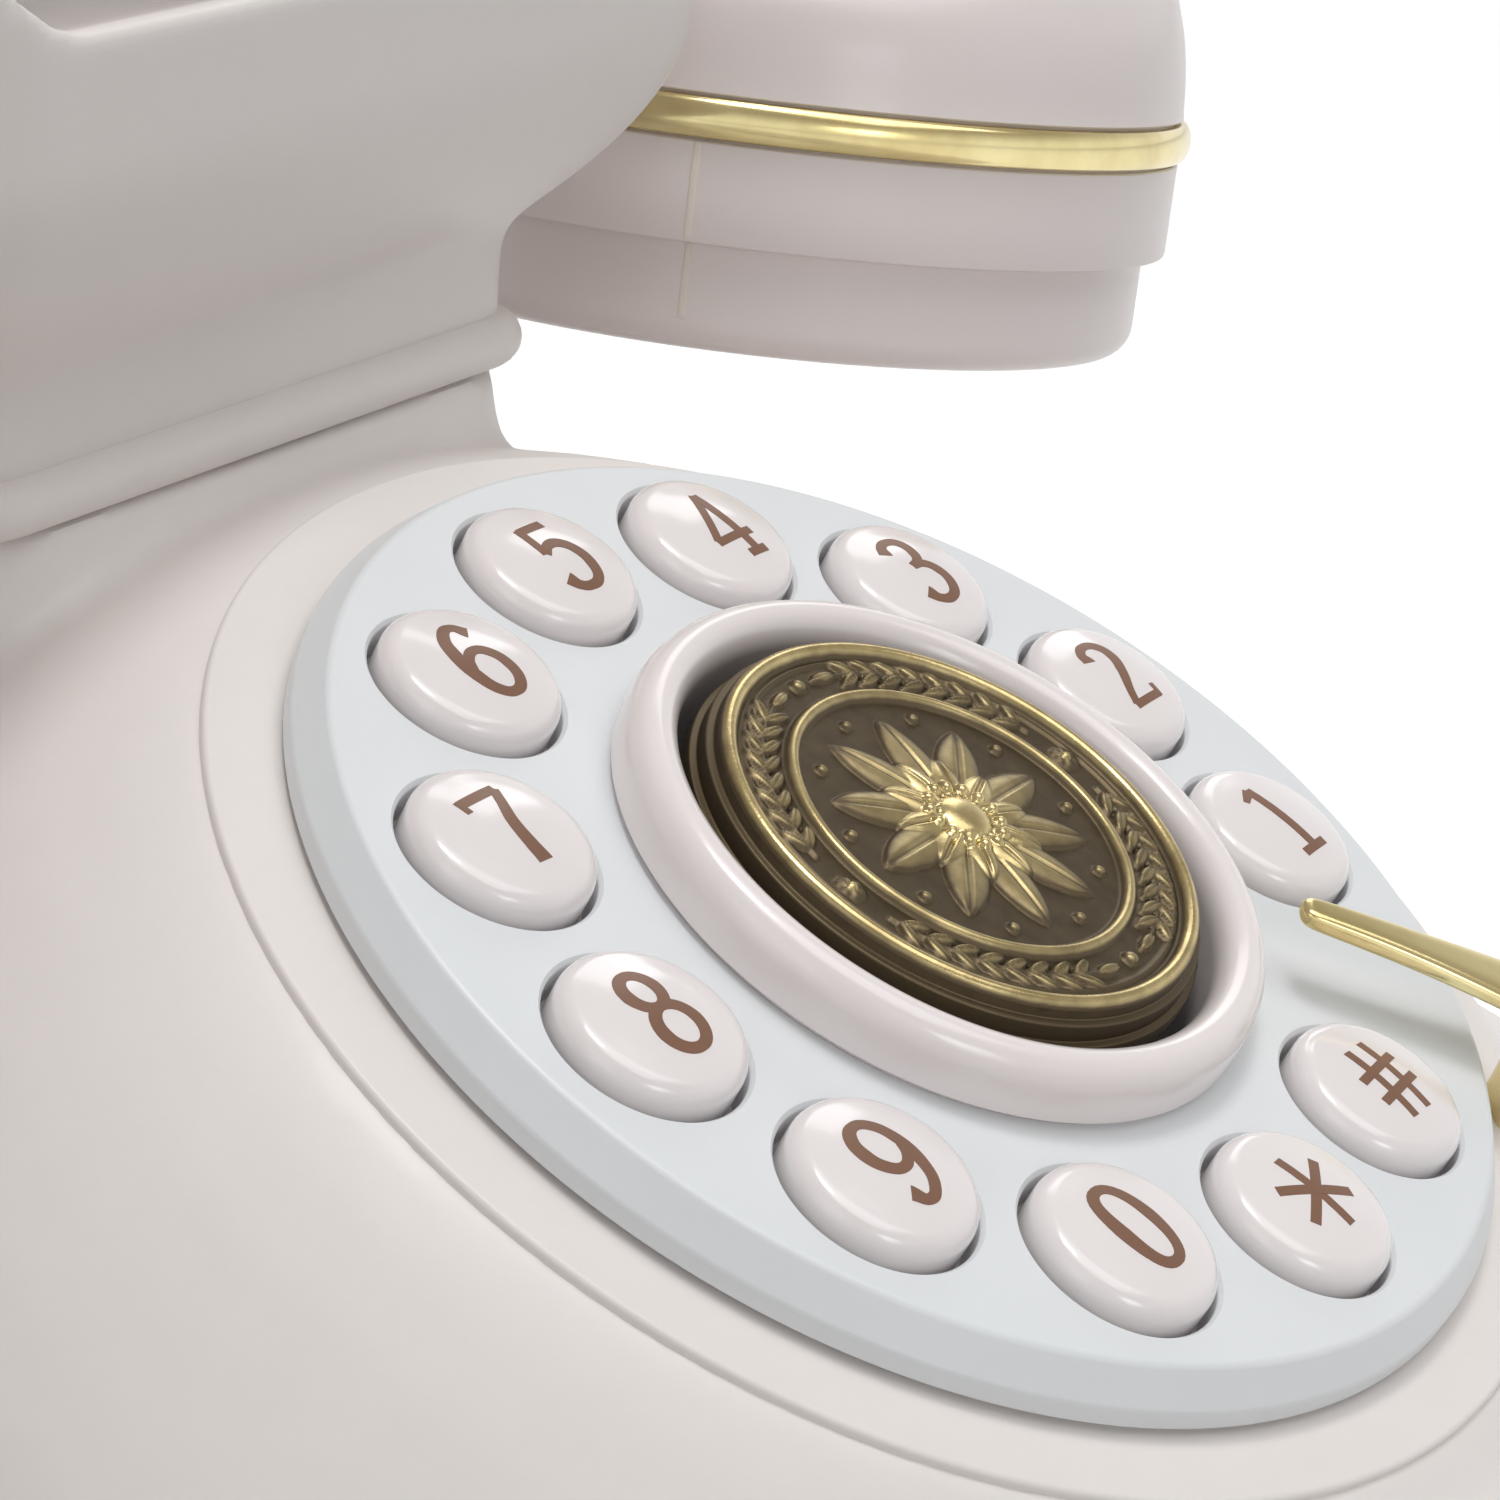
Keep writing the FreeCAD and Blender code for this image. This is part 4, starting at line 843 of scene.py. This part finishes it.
def bellFlare(look, along):
    rise = 1 - (1 - along ** look["bellStart"]) ** look["bellFill"]
    return look["handle"] + (look["bell"] - look["handle"]) * rise


def crossRing(look, x, z, turn, radius):
    count = look["ringPoints"]
    ring = []
    for index in range(count):
        angle = 2 * math.pi * (index + 0.5) / count
        side = radius * math.sin(angle)
        rise = radius * math.cos(angle)
        ring.append((x + rise * math.sin(turn), phoneLook["neckY"] + side, z + rise * math.cos(turn)))
    return ring


def smoothThrough(rows, between):
    # natural cubic through the rows, spaced by the mean distance between them
    rows = np.array(rows)
    gaps = np.linalg.norm(np.diff(rows, axis=0), axis=2).mean(axis=1)
    count = len(rows)
    system = np.eye(count)
    right = np.zeros((count,) + rows.shape[1:])
    slopes = np.diff(rows, axis=0) / gaps[:, None, None]
    for i in range(1, count - 1):
        system[i, i - 1:i + 2] = (gaps[i - 1], 2 * (gaps[i - 1] + gaps[i]), gaps[i])
        right[i] = 6 * (slopes[i] - slopes[i - 1])
    bend = np.linalg.solve(system, right.reshape(count, -1)).reshape(right.shape)
    dense = []
    for i in range(count - 1):
        for step in range(between):
            t = step / between
            a = rows[i] * (1 - t) + rows[i + 1] * t
            curve = gaps[i] ** 2 / 6 * (((1 - t) ** 3 - (1 - t)) * bend[i] + (t ** 3 - t) * bend[i + 1])
            dense.append(a + curve)
    dense.append(rows[-1])
    return dense


def bellRings(look):
    lean = math.radians(phoneLook["cupLean"])
    turn = math.pi / 2 + lean
    reach = look["elbow"] * math.sin(turn)
    fall = look["elbow"] * (1 - math.cos(turn))
    straight = (look["handleZ"] - fall - phoneLook["cupZ"]) / math.cos(lean)
    startX = phoneLook["cupX"] + straight * math.sin(lean) - reach
    length = look["elbow"] * turn + straight
    rows = [crossRing(look, x, look["handleZ"], 0, look["handle"]) for x in (startX - look["elbow"] / 2, startX)]
    for share in look["shares"]:
        angle = turn * share
        rows.append(crossRing(look, startX + look["elbow"] * math.sin(angle),
                              look["handleZ"] - look["elbow"] * (1 - math.cos(angle)), angle,
                              bellFlare(look, look["elbow"] * angle / length)))
    for height in (look["shoulder"], 0):
        rows.append(crossRing(look, phoneLook["cupX"] + height * math.sin(lean),
                              phoneLook["cupZ"] + height * math.cos(lean), turn,
                              bellFlare(look, 1 - height / length)))
    return smoothThrough(rows, look["between"])


def cupRing(look, height, radius):
    lean = math.radians(phoneLook["cupLean"])
    return crossRing(look, phoneLook["cupX"] + height * math.sin(lean), phoneLook["cupZ"] + height * math.cos(lean),
                     math.pi / 2 + lean, radius)


def drawnIn(rings, wall):
    # the same rings moved inwards along the surface's own normals, which keeps one wall all round the elbow
    bm = bmesh.new()
    loftRings(bm, rings)
    bm.normal_update()
    moved = [tuple(v.co - v.normal * wall) for v in bm.verts]
    bm.free()
    count = len(rings[0])
    return [moved[i:i + count] for i in range(0, len(moved), count)]


def mirroredLoft(rings):
    bm = bmesh.new()
    loftRings(bm, rings)
    bmesh.ops.delete(bm, geom=[f for f in bm.faces if all(abs(v.co.x) < 0.001 for v in f.verts)],
                     context="FACES_ONLY")
    bmesh.ops.mirror(bm, geom=list(bm.verts) + list(bm.edges) + list(bm.faces), matrix=Matrix.Identity(4),
                     merge_dist=0.001, axis="X")
    return mergeDoubles(bm)


def makeHandset(look):
    bell = look["bell"]
    groove = look["goldHalf"] + look["goldGap"]
    deep = bell - look["goldSink"]
    handle = [crossRing(look, x, look["handleZ"], 0, look["handle"]) for x in look["handleRings"]]
    elbow = bellRings(look)
    outer = handle + elbow[:-2] + [cupRing(look, height, radius) for height, radius in (
        (groove + 0.12, bell), (groove, bell - 0.12), (groove, deep), (-groove, deep), (-groove, bell - 0.12),
        (-groove - 0.12, bell), (-look["band"] * 0.6, bell), (0.3 - look["band"], bell),
        (0.1 - look["band"], bell - 0.08), (-look["band"], bell - 0.3))]
    middle = cupRing(look, -look["band"] / 2, bell)
    inner = [crossRing(look, 0, look["handleZ"], 0, look["handle"] - look["wall"])]
    inner += drawnIn(handle + elbow + [middle], look["wall"])[1:-1]
    inner += [cupRing(look, height, bell - look["wall"]) for height in (-look["band"] / 2, -look["band"] - 2)]
    shell = carve(mirroredLoft(outer), mirroredLoft(inner))
    for name, node, side in (("handsetFront", "handset_front", 1), ("handsetRear", "handset_rear", -1)):
        half = shell.copy()
        cut = bmesh.ops.bisect_plane(half, geom=list(half.verts) + list(half.edges) + list(half.faces),
                                     plane_co=(0, phoneLook["neckY"], 0), plane_no=(0, side, 0),
                                     clear_outer=True, dist=0.0001)
        rim = [e for e in cut["geom_cut"] if isinstance(e, bmesh.types.BMEdge)]
        bmesh.ops.holes_fill(half, edges=rim, sides=0)
        roundOff(half, [e for e in rim if e.is_valid and e.is_manifold], look["seam"], 2)
        bmesh.ops.triangulate(half, faces=[f for f in half.faces if len(f.verts) > 4])
        if side < 0:
            cutter = blockForm(look["socketWide"], 20, look["socketTall"],
                               (0, look["socketDeep"] + 10, look["socketHeight"]))
            half = carve(half, placed(cutter, cupFrame(-1)))
        finishPiece(half, name, "handset", "handset_cream", [node], sharp=40)
    shell.free()


makeHandset(handsetLook)

# The parting line is a thin raised fin on both sides of each cup; its paler, yellower cream is a painted highlight
# along the seam

finLook = {"width": 0.55, "proud": 0.06, "deep": 0.3, "angle": 23.7}


def makePartingFins(look):
    bm = bmesh.new()
    for side in (-1, 1):
        for turn in (0, 180):
            seam = Matrix.Rotation(math.radians(side * look["angle"] + turn), 4, "Z")
            for radius, low, high in ((handsetLook["bell"], 0.35 - handsetLook["band"], -1.75),
                                      (capLook["radius"], capLook["foot"] + 2.3, -handsetLook["band"] - 0.15)):
                fin = blockForm(look["proud"] + look["deep"], look["width"], high - low,
                                (radius + (look["proud"] - look["deep"]) / 2, 0, (high + low) / 2))
                roundOff(fin, list(fin.edges), look["proud"], 2)
                addTo(bm, placed(fin, cupFrame(side) @ seam))
    finishPiece(bm, "partingFins", "handset", "handset_cream", finish="seam_highlight_cream")


# Caps: turned, stepped in from the band, with a dished and pierced face

capLook = {"radius": 31.3, "top": -8.9, "foot": -16.8, "round": 2.2, "spigot": 30.7, "spigotTop": -3.9,
           "inner": 28.5, "floor": -13.0, "dish": 1.6, "steps": 200,
           "earHoles": ((0, 1, 1.5), (6, 6, 1.5)), "mouthHoles": ((0, 1, 1.2), (5, 5, 1.2))}


def makeCap(look, side, name, node, holes):
    bm = turnProfile([(0, look["foot"] + look["dish"]), (9, look["foot"] + look["dish"] * 0.9, 3, 4),
                      (look["radius"] / 2 + 3, look["foot"] + look["dish"] * 0.6, 3, 5),
                      (look["radius"] - 2 * look["round"], look["foot"], 2.5, 6),
                      (look["radius"], look["foot"], look["round"], 8),
                      (look["radius"], look["top"]), (look["spigot"], look["top"]),
                      (look["spigot"], look["spigotTop"]),
                      (look["inner"], look["spigotTop"]), (look["inner"], look["floor"]), (0, look["floor"])],
                     look["steps"])
    drills = bmesh.new()
    for circle, count, size in holes:
        for angle in np.linspace(0, 2 * math.pi, count, endpoint=False):
            drill = turnProfile([(0, look["foot"] - 1), (size + 0.5, look["foot"] - 1),
                                 (size + 0.5, look["foot"] + look["dish"] - 0.35, 0.2, 3),
                                 (size, look["foot"] + look["dish"] + 0.25, 0.15, 2), (size, look["floor"] + 1),
                                 (0, look["floor"] + 1)], 40)
            addTo(drills, placed(drill, onCircle(circle, angle)))
    bm = carve(bm, drills)
    finishPiece(bm, name, "handset", "handset_cream", [node], cupFrame(side))


makeCap(capLook, 1, "earCap", "ear_cap", capLook["earHoles"])
makeCap(capLook, -1, "mouthCap", "mouth_cap", capLook["mouthHoles"])
makePartingFins(finLook)

# Gold rings: half-round bands seated in the bells' grooves

goldLook = {"radius": 33.0, "proud": 0.75, "sink": 0.6, "half": 1.45, "steps": 240}


def makeGoldRing(look, side, name, node):
    arch = [(look["radius"] + look["proud"] * math.cos(math.radians(a)), look["half"] * math.sin(math.radians(a)))
            for a in range(-90, 91, 15)]
    inner = look["radius"] - look["sink"] + 0.03
    bm = turnProfile([(inner, -look["half"])] + arch + [(inner, look["half"])], look["steps"], closed=True)
    finishPiece(bm, name, "handset", "gilt_brass", [node], cupFrame(side), sharp=50)


makeGoldRing(goldLook, 1, "earRing", "ear_ring")
makeGoldRing(goldLook, -1, "mouthRing", "mouth_ring")

# Neck and cradle: one moulded form with soft lips, on a foot with a round bead

cradleLook = {
    "neckHalf": (27.0, 14.2), "grow": (10.5, 9.3), "corner": 4.0, "cornerGrow": 3.5,
    "foot": 66.0, "bead": 1.7, "beadSteps": 12, "waist": 69.4, "swellFrom": 75.5, "swell": 14.5, "ease": 1.0,
    "shoulder": 90.0, "top": 116.0, "crown": (38.5, 24.5), "crownRound": 4.5,
    "saddleHalf": 34.0, "saddleFloor": 96.6, "saddleCorner": 7.5, "lip": 2.25,
    "notchHalf": 12.8, "troughRadius": 56.0, "troughFloor": 92.0, "troughHalf": 29.5,
    "wall": 2.5, "innerTop": 89.5, "levels": 48, "plungerX": 27.6, "plungerHole": 2.25, "plungerFrom": 86.2,
    "bandLong": 160, "voxel": 0.55, "softFactor": 0.5, "softRounds": 9, "cornerPoints": 10,
}


def eased(distance, softness):
    return (distance + math.hypot(distance, softness)) / 2


def outline(halfX, front, back, corner, backCorner, z, points):
    ring = []
    corners = [(halfX - corner, front + corner, corner, -90), (halfX - backCorner, back - backCorner, backCorner, 0),
               (backCorner - halfX, back - backCorner, backCorner, 90), (corner - halfX, front + corner, corner, 180)]
    for index, (x, y, radius, start) in enumerate(corners):
        arc = [(x + radius * math.cos(math.radians(start + 90 * i / points)),
                y + radius * math.sin(math.radians(start + 90 * i / points))) for i in range(points + 1)]
        ring += arc
        nextX, nextY, nextRadius, nextStart = corners[(index + 1) % 4]
        to = (nextX + nextRadius * math.cos(math.radians(nextStart)),
              nextY + nextRadius * math.sin(math.radians(nextStart)))
        for i in range(1, points):
            share = i / points
            ring.append((arc[-1][0] * (1 - share) + to[0] * share, arc[-1][1] * (1 - share) + to[1] * share))
    return [(x, y, z) for x, y in ring]


def neckOutline(halfX, halfY, corner, z, points):
    middle = phoneLook["neckY"]
    return outline(halfX, middle - halfY, middle + halfY, corner, corner, z, points)


def cradleRing(look, z, inset):
    share = 1 - (1 - min(eased(z - look["swellFrom"], look["ease"]) / look["swell"], 1)) ** 2
    flare = max(z - look["shoulder"], 0) / (look["top"] - look["shoulder"])
    halfX = look["neckHalf"][0] + look["grow"][0] * share + flare - inset
    halfY = look["neckHalf"][1] + look["grow"][1] * share + flare - inset
    corner = look["corner"] + look["cornerGrow"] * share - inset / 2
    return neckOutline(halfX, halfY, corner, z, look["cornerPoints"])


def cradleForm(look, low, high, inset):
    bm = bmesh.new()
    levels = look["levels"]
    loftRings(bm, [cradleRing(look, low + (high - low) * i / (levels - 1), inset) for i in range(levels)])
    return bm


def extrudedBand(points, alongX, length=cradleLook["bandLong"]):
    # a closed outline of width and height, softened at its corners, drawn out through the cradle's middle
    bm = drawProfile(points, closed=True)
    bmesh.ops.translate(bm, vec=(0, -length / 2, 0), verts=bm.verts)
    bmesh.ops.holes_fill(bm, edges=bm.edges, sides=0)
    drawn = bmesh.ops.extrude_face_region(bm, geom=list(bm.faces))
    moved = [v for v in drawn["geom"] if isinstance(v, bmesh.types.BMVert)]
    bmesh.ops.translate(bm, vec=(0, length, 0), verts=moved)
    bmesh.ops.recalc_face_normals(bm, faces=bm.faces)
    if alongX:
        bmesh.ops.rotate(bm, cent=(0, 0, 0), matrix=Matrix.Rotation(math.pi / 2, 3, "Z"), verts=bm.verts)
    return placed(bm, Matrix.Translation((0, phoneLook["neckY"], 0)))


def saddleBand(look, half, floor, soft, alongX):
    lip = look["lip"]
    top = look["top"]
    return extrudedBand([(-half - lip, top + 3), (-half - lip, top), (-half, top - lip, lip * 0.9, 5),
                         (-half, floor, soft, 10), (half, floor, soft, 10), (half, top - lip, lip * 0.9, 5),
                         (half + lip, top), (half + lip, top + 3)], alongX)


def makeCradle(look):
    bm = cradleForm(look, look["waist"] - 1.0, look["top"], 0)
    for half, alongX in ((look["crown"][0], False), (look["crown"][1], True)):
        crown = extrudedBand([(-half, 0), (half, 0), (half, look["top"], look["crownRound"], 8),
                              (-half, look["top"], look["crownRound"], 8)], alongX)
        bm = carve(bm, crown, "INTERSECT")
    bm = carve(bm, saddleBand(look, look["saddleHalf"], look["saddleFloor"], look["saddleCorner"], False))
    bm = carve(bm, saddleBand(look, look["notchHalf"], look["handleFloor"], look["notchHalf"] - 0.4, True))
    trough = discForm(look["troughRadius"], -look["troughHalf"], look["troughHalf"], 180)
    bmesh.ops.rotate(trough, cent=(0, 0, 0), matrix=Matrix.Rotation(math.pi / 2, 3, "Y"), verts=trough.verts)
    centre = (0, phoneLook["neckY"], look["troughFloor"] + look["troughRadius"])
    bm = carve(bm, placed(trough, Matrix.Translation(centre)))
    bm = soften(bm, look)
    bm = carve(bm, cradleForm(look, look["foot"] - 2, look["innerTop"], look["wall"]))
    drills = bmesh.new()
    for side in (-1, 1):
        addTo(drills, placed(discForm(look["plungerHole"], look["plungerFrom"], look["top"], 48),
                             Matrix.Translation((side * look["plungerX"], phoneLook["neckY"], 0))))
    bm = carve(bm, drills)
    # the foot's ring: two steps up the inner wall, then round the bead from below
    foot = bmesh.new()
    steps = look["beadSteps"]
    turns = [math.radians(180 * step / steps - 90) for step in range(steps + 1)]
    path = [(-look["wall"], 2 * look["bead"]), (-look["wall"], 0)]
    path += [(look["bead"] * math.cos(turn), look["bead"] * (1 + math.sin(turn))) for turn in turns]
    rings = [neckOutline(look["neckHalf"][0] + grow, look["neckHalf"][1] + grow, max(look["corner"] + grow, 1.5),
                         look["foot"] + rise, look["cornerPoints"]) for grow, rise in path + path[:1]]
    loftRings(foot, rings, capped=False)
    addTo(bm, mergeDoubles(foot))
    finishPiece(bm, "cradleHousing", "base", "shell_cream", ["cradle_housing"], sharp=42)


cradleLook["handleFloor"] = handsetLook["handleZ"] - cradleLook["notchHalf"]
makeCradle(cradleLook)

# Body: level outlines from the table to the collar, the round pad, and soft turns between them

bodyLook = {
    "foot": 2.5, "roof": 58.5, "collar": 66.0, "width": 176.0, "depth": 150.0, "topHalf": 28.0,
    "flankStart": 58.5, "flankSoft": 4.0, "flankPower": 0.85,
    "slope": 29.3, "slopeDrop": 3.4, "slopeSoft": 10.0, "backTop": 54.2, "backBelly": 2.0, "backHollow": 1.6,
    "corner": 54.0, "roofCorner": 14.0, "cornerFrom": 0.25, "cornerTo": 0.6, "backShare": 0.55,
    "collarHalf": (28.0, 15.2), "collarCorner": 8.0, "collarFlare": 1.6, "collarCurve": 2.2,
    "collarSteps": 13,
    # the pad's outer slope: distance from the dial's middle and height in the dial's frame
    "skirt": [(40.0, -4.1), (42.4, -4.25), (46.0, -6.4), (50.0, -9.4), (53.5, -12.7), (57.0, -16.5), (60.0, -20.4),
              (62.5, -24.6), (64.0, -29.0)],
    "padRim": 42.4, "padTop": -3.85, "padRound": 0.35, "padFoot": -9.0, "clearRim": 43.2, "clearFrom": -5.8,
    "well": 37.1, "wellFoot": -24.0, "seat": -5.5, "hole": 35.4, "wall": 2.5, "throat": (46.5, 20.9),
    "levels": 60, "innerLevels": 24, "cornerPoints": 14, "voxel": 1.0, "softFactor": 0.5, "softRounds": 8,
    # across, width, height and middle height of each opening in the rear wall
    "rearCuts": [(-18.0, 9.8, 6.8, 13.0), (0.0, 7.8, 6.4, 13.0), (18.0, 6.9, 3.2, 14.0), (32.0, 6.9, 3.2, 14.0)],
}


def flankShare(look, z):
    start = eased(look["flankStart"] - look["collar"], look["flankSoft"])
    spread = max(eased(look["flankStart"] - z, look["flankSoft"]) - start, 0)
    return (spread / (eased(look["flankStart"], look["flankSoft"]) - start)) ** look["flankPower"]


def slopeReach(look, z):
    turn = math.radians(phoneLook["dialTilt"])
    y = phoneLook["dialY"] + look["slopeDrop"] * math.sin(turn)
    height = phoneLook["dialZ"] - look["slopeDrop"] * math.cos(turn)
    return eased(y + (z - height) / math.tan(math.radians(look["slope"])) + look["depth"] / 2, look["slopeSoft"])


def bodyRing(look, z, inset, drop):
    level = z + drop
    share = flankShare(look, level)
    halfX = look["topHalf"] + (look["width"] / 2 - look["topHalf"]) * share - inset
    front = slopeReach(look, level) - slopeReach(look, look["foot"]) - look["depth"] / 2 + inset
    belly = max(1 - (level / look["collar"]) ** look["backBelly"], 0) ** look["backHollow"]
    back = look["backTop"] + (look["depth"] / 2 - look["backTop"]) * belly - inset
    step = min(max((share - look["cornerFrom"]) / (look["cornerTo"] - look["cornerFrom"]), 0.0), 1.0)
    corner = look["roofCorner"] + (look["corner"] - look["roofCorner"]) * step ** 2 * (3 - 2 * step)
    return outline(halfX, front, back, corner - inset, look["backShare"] * corner - inset, z, look["cornerPoints"])


def bodyForm(look, low, high, inset, drop, levels):
    bm = bmesh.new()
    loftRings(bm, [bodyRing(look, low + (high - low) * i / (levels - 1), inset, drop) for i in range(levels)])
    return bm


def makeBody(look):
    bm = bodyForm(look, look["foot"], look["roof"], 0, 0, look["levels"])
    over = discForm(look["clearRim"], look["clearFrom"], 120, 160)
    bm = carve(bm, placed(over, dialFrame))
    collar = bmesh.new()
    low = look["roof"] - look["wall"]
    rings = []
    for step in range(look["collarSteps"] + 1):
        z = low + (look["collar"] - low) * step / look["collarSteps"]
        flare = look["collarFlare"] * ((look["collar"] - z) / (look["collar"] - look["roof"])) ** look["collarCurve"]
        rings.append(neckOutline(look["collarHalf"][0] + flare, look["collarHalf"][1] + flare,
                                 look["collarCorner"] + flare, z, look["cornerPoints"]))
    loftRings(collar, rings)
    addTo(bm, collar)
    pad = turnProfile([(0, look["padFoot"]), (look["padRim"], look["padFoot"]),
                       (look["padRim"], look["padTop"], look["padRound"], 6), (0, look["padTop"])], 240)
    placed(pad, dialFrame)
    skirt = turnProfile([(0, look["skirt"][-1][1])] + look["skirt"][::-1] + [(0, look["skirt"][0][1])], 200)
    addTo(bm, carve(placed(skirt, dialFrame), blockForm(400, 400, 200, (0, 0, 100 + look["foot"])), "INTERSECT"))
    bm = soften(bm, look)
    bm = carve(bm, pad, "UNION")
    inner = bodyForm(look, look["foot"] - 1, low, look["wall"], look["wall"], look["innerLevels"])
    roomy = discForm(look["clearRim"] + look["wall"], look["clearFrom"] - look["wall"], 120, 64)
    bm = carve(bm, carve(inner, placed(roomy, dialFrame)))
    well = turnProfile([(0, look["wellFoot"]), (look["hole"], look["wellFoot"]), (look["hole"], look["seat"]),
                        (look["well"], look["seat"]), (look["well"], 5), (0, 5)], 200)
    bm = carve(bm, placed(well, dialFrame))
    bm = carve(bm, blockForm(look["throat"][0], look["throat"][1], 40, (0, phoneLook["neckY"], 75)))
    cuts = bmesh.new()
    for x, width, tall, z in look["rearCuts"]:
        addTo(cuts, blockForm(width, 10, tall, (x, look["depth"] / 2, z)))
    bm = carve(bm, cuts)
    finishPiece(bm, "bodyShell", "base", "shell_cream", ["body_shell"], sharp=42)


makeBody(bodyLook)
